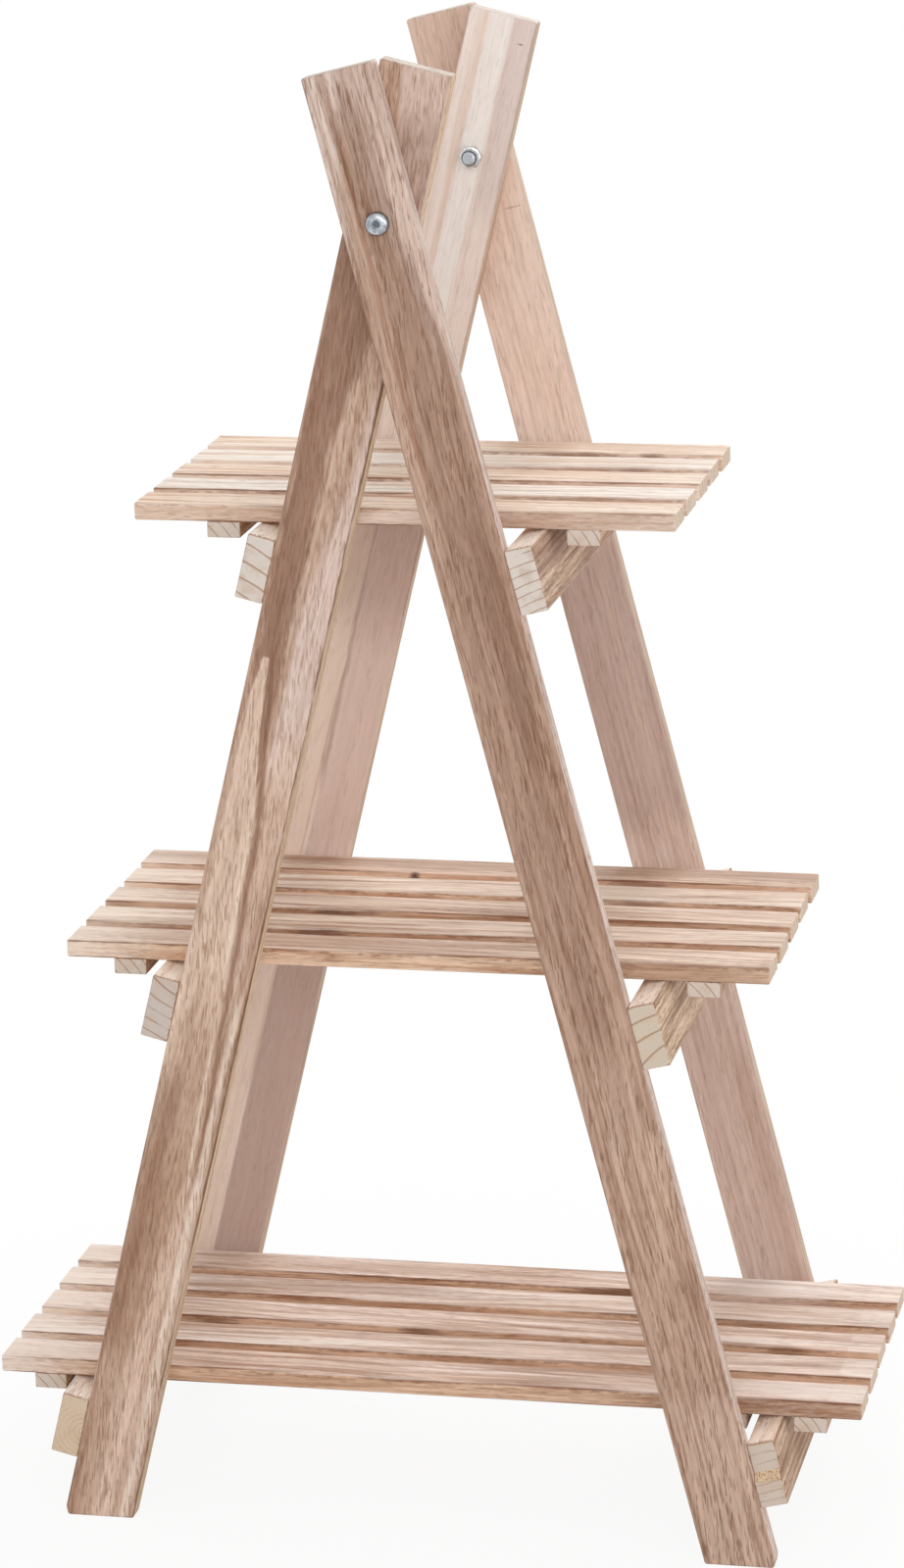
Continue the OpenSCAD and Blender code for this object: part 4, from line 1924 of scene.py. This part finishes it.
def bar_finishes(frame: Frame) -> dict[Tier, WoodFinish]:
    """The crossbars' wood, each with its own rings.

    Args:
        frame: Whose crossbars.

    Returns:
        The finishes by tier.
    """
    low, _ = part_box(f"front_{frame.name.lower()}_leg")
    base = WoodFinish(
        name=f"Top {frame.side} crossbar wood",
        faces=Faces(low.y / MM, -low.y / MM, across=20.5, through=8.75),
        pale=(232, 206, 180), body=(196, 164, 138), deep=(140, 102, 78), seed=211 + 9 * frame.value,
        # The narrow faces are the wood's own pale tone, lifted further as painted light on the tops that the
        # shelves shade.
        pores=0.35, bands=0.8, lines=0.55, end=(220, 208, 198), edge=(250, 234, 220),
        edge_deep=(238, 212, 190), edge_share=1, edge_calm=0.8, arris_share=0.7, scorch=0.75,
        rings=Rings(across=-75, through=12, slope=0.004, width=6.2, share=0.5, waver=2),
    )
    if frame is Frame.OUTER:
        middle = dataclasses.replace(
            base, name="Middle right crossbar wood", seed=262, body=(216, 186, 158), end=(208, 194, 176),
            rings=Rings(across=-60, through=26, slope=0.006, width=11, share=0.5, waver=2),
        )
        bottom = dataclasses.replace(
            base, name="Bottom right crossbar wood",
            faces=dataclasses.replace(base.faces, back=5, ledge=(-3.5, 1.5)), seed=287, end=(210, 194, 180),
            end_line=(176, 144, 118),
            rings=Rings(across=-160, through=4, slope=0.002, width=5.6, share=0.45, waver=1.5),
        )
        base = dataclasses.replace(base, body=(186, 154, 134))
    else:
        base = dataclasses.replace(
            base, rings=Rings(across=-75, through=-26, slope=0.004, width=9, share=0.5, waver=2),
        )
        middle = dataclasses.replace(
            base, name="Middle left crossbar wood", seed=306, end=(204, 190, 180),
            rings=Rings(across=70, through=30, slope=0.006, width=8, share=0.5, waver=2),
        )
        bottom = dataclasses.replace(
            base, name="Bottom left crossbar wood", seed=333, end=(216, 193, 168), end_line=(200, 152, 98),
            rings=Rings(across=-2, through=10, slope=0.001, width=3.2, share=0.4, waver=1),
        )
    return {Tier.TOP: base, Tier.MIDDLE: middle, Tier.BOTTOM: bottom}


@dataclass(frozen=True)
class SlatTones:
    """The tones of one shelf: pale, body and deep of each wood, and what shows on the slats' narrow faces.

    Past the right batten the tops are paler by the share beyond. Some of the marks are painted light.
    """

    peach: tuple[Rgb, Rgb, Rgb]
    cream: tuple[Rgb, Rgb, Rgb]
    edge: tuple[Rgb, Rgb]
    beyond: float
    lines: float
    fringe: float
    marks: tuple[Mark, ...]


def top_tones() -> SlatTones:
    """The top shelf's tones."""
    return SlatTones(
        peach=((249, 232, 214), (243, 219, 198), (214, 172, 140)),
        cream=((252, 244, 234), (248, 235, 222), (222, 190, 162)), edge=((242, 222, 208), (220, 190, 168)),
        beyond=0.1, lines=0.26, fringe=0.5,
        marks=(
            Mark(76, SLAT_FRONT, 40, 3, (140, 92, 66), 0.7, piece=5),
            Mark(124, SLAT_FRONT, 12, 3, (116, 72, 46), 0.65, piece=5),
            Mark(124, SLAT_FRONT, 14, 3, (122, 78, 52), 0.5, piece=4),
            Mark(116, SLAT_FRONT, 90, 3, (150, 106, 80), 0.6, piece=2),
            Mark(110, 3, 110, 22, (212, 178, 152), 0.6, piece=5),
            Mark(110, 3, 110, 22, (216, 188, 166), 0.6, piece=4),
            Mark(-140, SLAT_FRONT, 90, 7, (250, 232, 218), 0.6, piece=3),
            Mark(120, SLAT_FRONT, 90, 7, (246, 222, 204), 0.6, piece=3),
            Mark(120, SLAT_FRONT, 90, 5, (176, 138, 112), 0.5, piece=1),
            Mark(-140, SLAT_FRONT, 90, 7, (250, 232, 218), 0.8, piece=4),
            Mark(-140, SLAT_FRONT, 90, 7, (250, 232, 218), 0.8, piece=5),
            # Painted light: the rear slats paler between the legs, where the legs shade them.
            Mark(-60, 0, 140, 40, (253, 240, 226), 0.5, piece=4),
            Mark(-60, 0, 140, 40, (253, 236, 218), 0.5, piece=5),
            Mark(110, SLAT_FRONT, 110, 6, (150, 108, 82), 0.3, piece=4),
            Mark(-100, SLAT_FRONT, 100, 6, (240, 214, 198), 0.4, piece=5),
        ),
    )


def middle_tones() -> SlatTones:
    """The middle shelf's tones."""
    return SlatTones(
        peach=((240, 218, 200), (222, 194, 174), (166, 124, 98)),
        cream=((248, 232, 216), (232, 209, 191), (180, 140, 112)), edge=((226, 193, 166), (200, 158, 128)),
        beyond=0.2, lines=0.52, fringe=0.55,
        marks=(
            # Painted light: every slat paler at its left end, beyond the legs.
            Mark(-245, 0, 110, 60, (250, 234, 218), 0.75),
            Mark(110, 0, 60, 40, (248, 232, 214), 0.5, piece=4),
            Mark(30, 4, 700, 20, (164, 126, 102), 0.5, piece=5),
            Mark(-50, 4, 160, 18, (172, 132, 106), 0.5, piece=1),
            Mark(-50, 4, 160, 18, (240, 218, 200), 0.6, piece=3),
            Mark(180, SLAT_FRONT, 90, 6, (150, 114, 90), 0.5, piece=1),
            Mark(0, SLAT_FRONT, 900, 6, (236, 200, 176), 0.4, piece=5),
            Mark(0, SLAT_FRONT, 600, 2.4, (118, 76, 54), 0.3, piece=2),
            Mark(0, SLAT_FRONT, 600, 2.4, (118, 76, 54), 0.3, piece=3),
            Mark(-38.5, SLAT_FRONT, 5, 3, (84, 48, 32), 0.9, piece=5),
            Mark(110, SLAT_FRONT, 30, 2.5, (112, 70, 48), 0.6, piece=5),
            Mark(-212, SLAT_FRONT, 20, 2.4, (110, 70, 50), 0.55, piece=3),
            Mark(-185, SLAT_FRONT, 60, 7, (228, 190, 162), 0.45, piece=3),
            Mark(-185, SLAT_FRONT, 60, 7, (232, 196, 168), 0.55, piece=4),
            Mark(160, SLAT_FRONT, 120, 7, (232, 194, 166), 0.3, piece=2),
            Mark(-70, SLAT_FRONT, 34, 3.5, (98, 60, 42), 0.75, piece=3),
            Mark(-70, SLAT_FRONT, 30, 4.5, (98, 60, 42), 0.7, piece=2),
            Mark(120, SLAT_FRONT, 30, 2.5, (112, 70, 48), 0.6, piece=4),
        ),
    )


def bottom_tones() -> SlatTones:
    """The bottom shelf's tones."""
    return SlatTones(
        peach=((246, 230, 220), (223, 196, 179), (172, 130, 104)),
        cream=((247, 234, 225), (224, 200, 184), (176, 136, 110)), edge=((218, 182, 154), (186, 144, 114)),
        beyond=0.45, lines=0.48, fringe=0.55,
        marks=(
            Mark(-90, 2, 180, 19, (156, 116, 92), 0.6, piece=4),
            Mark(225, SLAT_FRONT, 120, 2.5, (134, 88, 60), 0.55, piece=1),
            Mark(180, SLAT_FRONT, 150, 7, (232, 196, 170), 0.35, piece=2),
            Mark(205, 0, 100, 26, (208, 174, 150), 0.3, piece=4),
            Mark(222, SLAT_FRONT, 20, 4, (128, 84, 58), 0.6, piece=3),
            # Painted light: the slats paler at their ends, beyond the legs.
            Mark(-300, 0, 120, 60, (250, 236, 224), 0.75),
            Mark(190, 0, 80, 40, (250, 238, 232), 0.5, piece=5),
            Mark(235, 2, 110, 24, (250, 238, 230), 0.5, piece=1),
            Mark(-70, 2, 200, 18, (168, 128, 102), 0.4, piece=5),
            Mark(-22, SLAT_FRONT, 22, 3, (120, 76, 50), 0.8, piece=3),
            Mark(-162, SLAT_FRONT, 22, 3, (124, 80, 54), 0.7, piece=3),
            Mark(92, SLAT_FRONT, 42, 2.5, (104, 64, 44), 0.7, piece=5),
        ),
    )


def slat_finishes(tier: Tier) -> tuple[WoodFinish, WoodFinish]:
    """The peach and the cream slats' wood of one shelf.

    Args:
        tier: Which shelf.

    Returns:
        The peach one and the cream one.
    """
    low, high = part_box(f"{tier.body}_slat_1")
    _, batten_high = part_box(f"{tier.body}_right_batten")
    tones = {Tier.TOP: top_tones, Tier.MIDDLE: middle_tones, Tier.BOTTOM: bottom_tones}[tier]()
    peach = WoodFinish(
        name=f"{tier.name.capitalize()} shelf peach slat wood",
        faces=Faces(low.x / MM, high.x / MM, across=16.5, through=5.5),
        pale=tones.peach[0], body=tones.peach[1],
        deep=tones.peach[2], seed=401 + 31 * tier.value, pores=0.3, bands=0.7, lines=tones.lines,
        flecks=0.25, fine=0.45, line=(168, 124, 94), end=(218, 195, 172), edge=tones.edge[0],
        edge_deep=tones.edge[1], edge_share=0.92, fringe=tones.fringe,
        arris=(124, 76, 46), arris_share=0.75,
        rings=Rings(across=60, through=34, slope=0.03, width=8, share=0.5, waver=6), marks=tones.marks,
        step=batten_high.x / MM + 1, beyond=tones.beyond,
    )
    cream = dataclasses.replace(
        peach, name=f"{tier.name.capitalize()} shelf cream slat wood", pale=tones.cream[0],
        body=tones.cream[1], deep=tones.cream[2], seed=503 + 29 * tier.value, pores=0.24,
        rings=Rings(across=-80, through=40, slope=-0.025, width=9.5, share=0.45, waver=5),
    )
    return peach, cream


def batten_finish() -> WoodFinish:
    """The battens' wood."""
    low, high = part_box("top_shelf_left_batten")
    return WoodFinish(
        name="Batten wood", faces=Faces(low.y / MM, high.y / MM, across=10.5, through=5),
        pale=(226, 204, 182),
        body=(204, 176, 150), deep=(160, 124, 98), seed=601, pores=0.25, end=(218, 204, 192),
        arris_share=0.5, rings=Rings(across=40, through=-30, slope=0.01, width=6, share=0.45, waver=3),
    )


def zinc(name: str, bright: Rgb, pivot: Vector, sunk: tuple[Point, ...], beyond: float) -> MetalFinish:
    """Zinc plate on a part that turns about the pivot, with painted shade in its sunk rings."""
    return MetalFinish(name, bright, (92, 97, 104), 0.24, 1500.0, pivot, sunk, beyond)


def main() -> None:
    """Load the frame, dress it and light it."""
    logging.basicConfig(level=logging.INFO, format="%(name)s: %(message)s")
    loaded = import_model()
    pivot = Vector(next(joint["pos_m"] for joint in loaded["joints"] if joint["name"] == "frame_fold"))
    steel = MetalFinish("Brad steel", (150, 146, 142), (96, 90, 86), 0.42, 2500.0).material()
    # Rings of painted shade: the bolt head's socket and the outer edge of its rim, and the lip inside the
    # nut's collar.
    head_shade_rings = ((-1.0, 2.4 * MM), (7.0 * MM, 1.0))
    nut_shade_rings = ((4.3 * MM, 5.3 * MM),)
    head = zinc("Zinc plated bolt", (196, 201, 208), pivot, head_shade_rings, 150 * MM).material()
    nut = zinc("Zinc plated nut", (242, 243, 245), pivot, nut_shade_rings, 0.0).material()
    nylon = NylonFinish().material()
    legs = leg_finishes(pivot)
    slots = {
        Frame.OUTER: {End.FRONT: "leg_brown", End.REAR: "leg_pink"},
        Frame.INNER: {End.FRONT: "leg_dark", End.REAR: "leg_pale"},
    }
    driver = brad_tool()
    for frame in Frame:
        ladder = LadderFrame(frame, pivot, legs[frame], bar_finishes(frame), slots[frame])
        ladder.build()
        ladder.brads.build(ladder.nailings, driver, steel)
    row = slat_row_tool()
    batten = batten_finish().material()
    for tier in Tier:
        shelf = Shelf(tier, *slat_finishes(tier), batten)
        shelf.build(row)
        shelf.brads.build(shelf.nailings, driver, steel)
    for end in End:
        PivotHardware(end, pivot, head, nut, nylon).build()
    Studio().build()


if __name__ == "__main__":
    main()
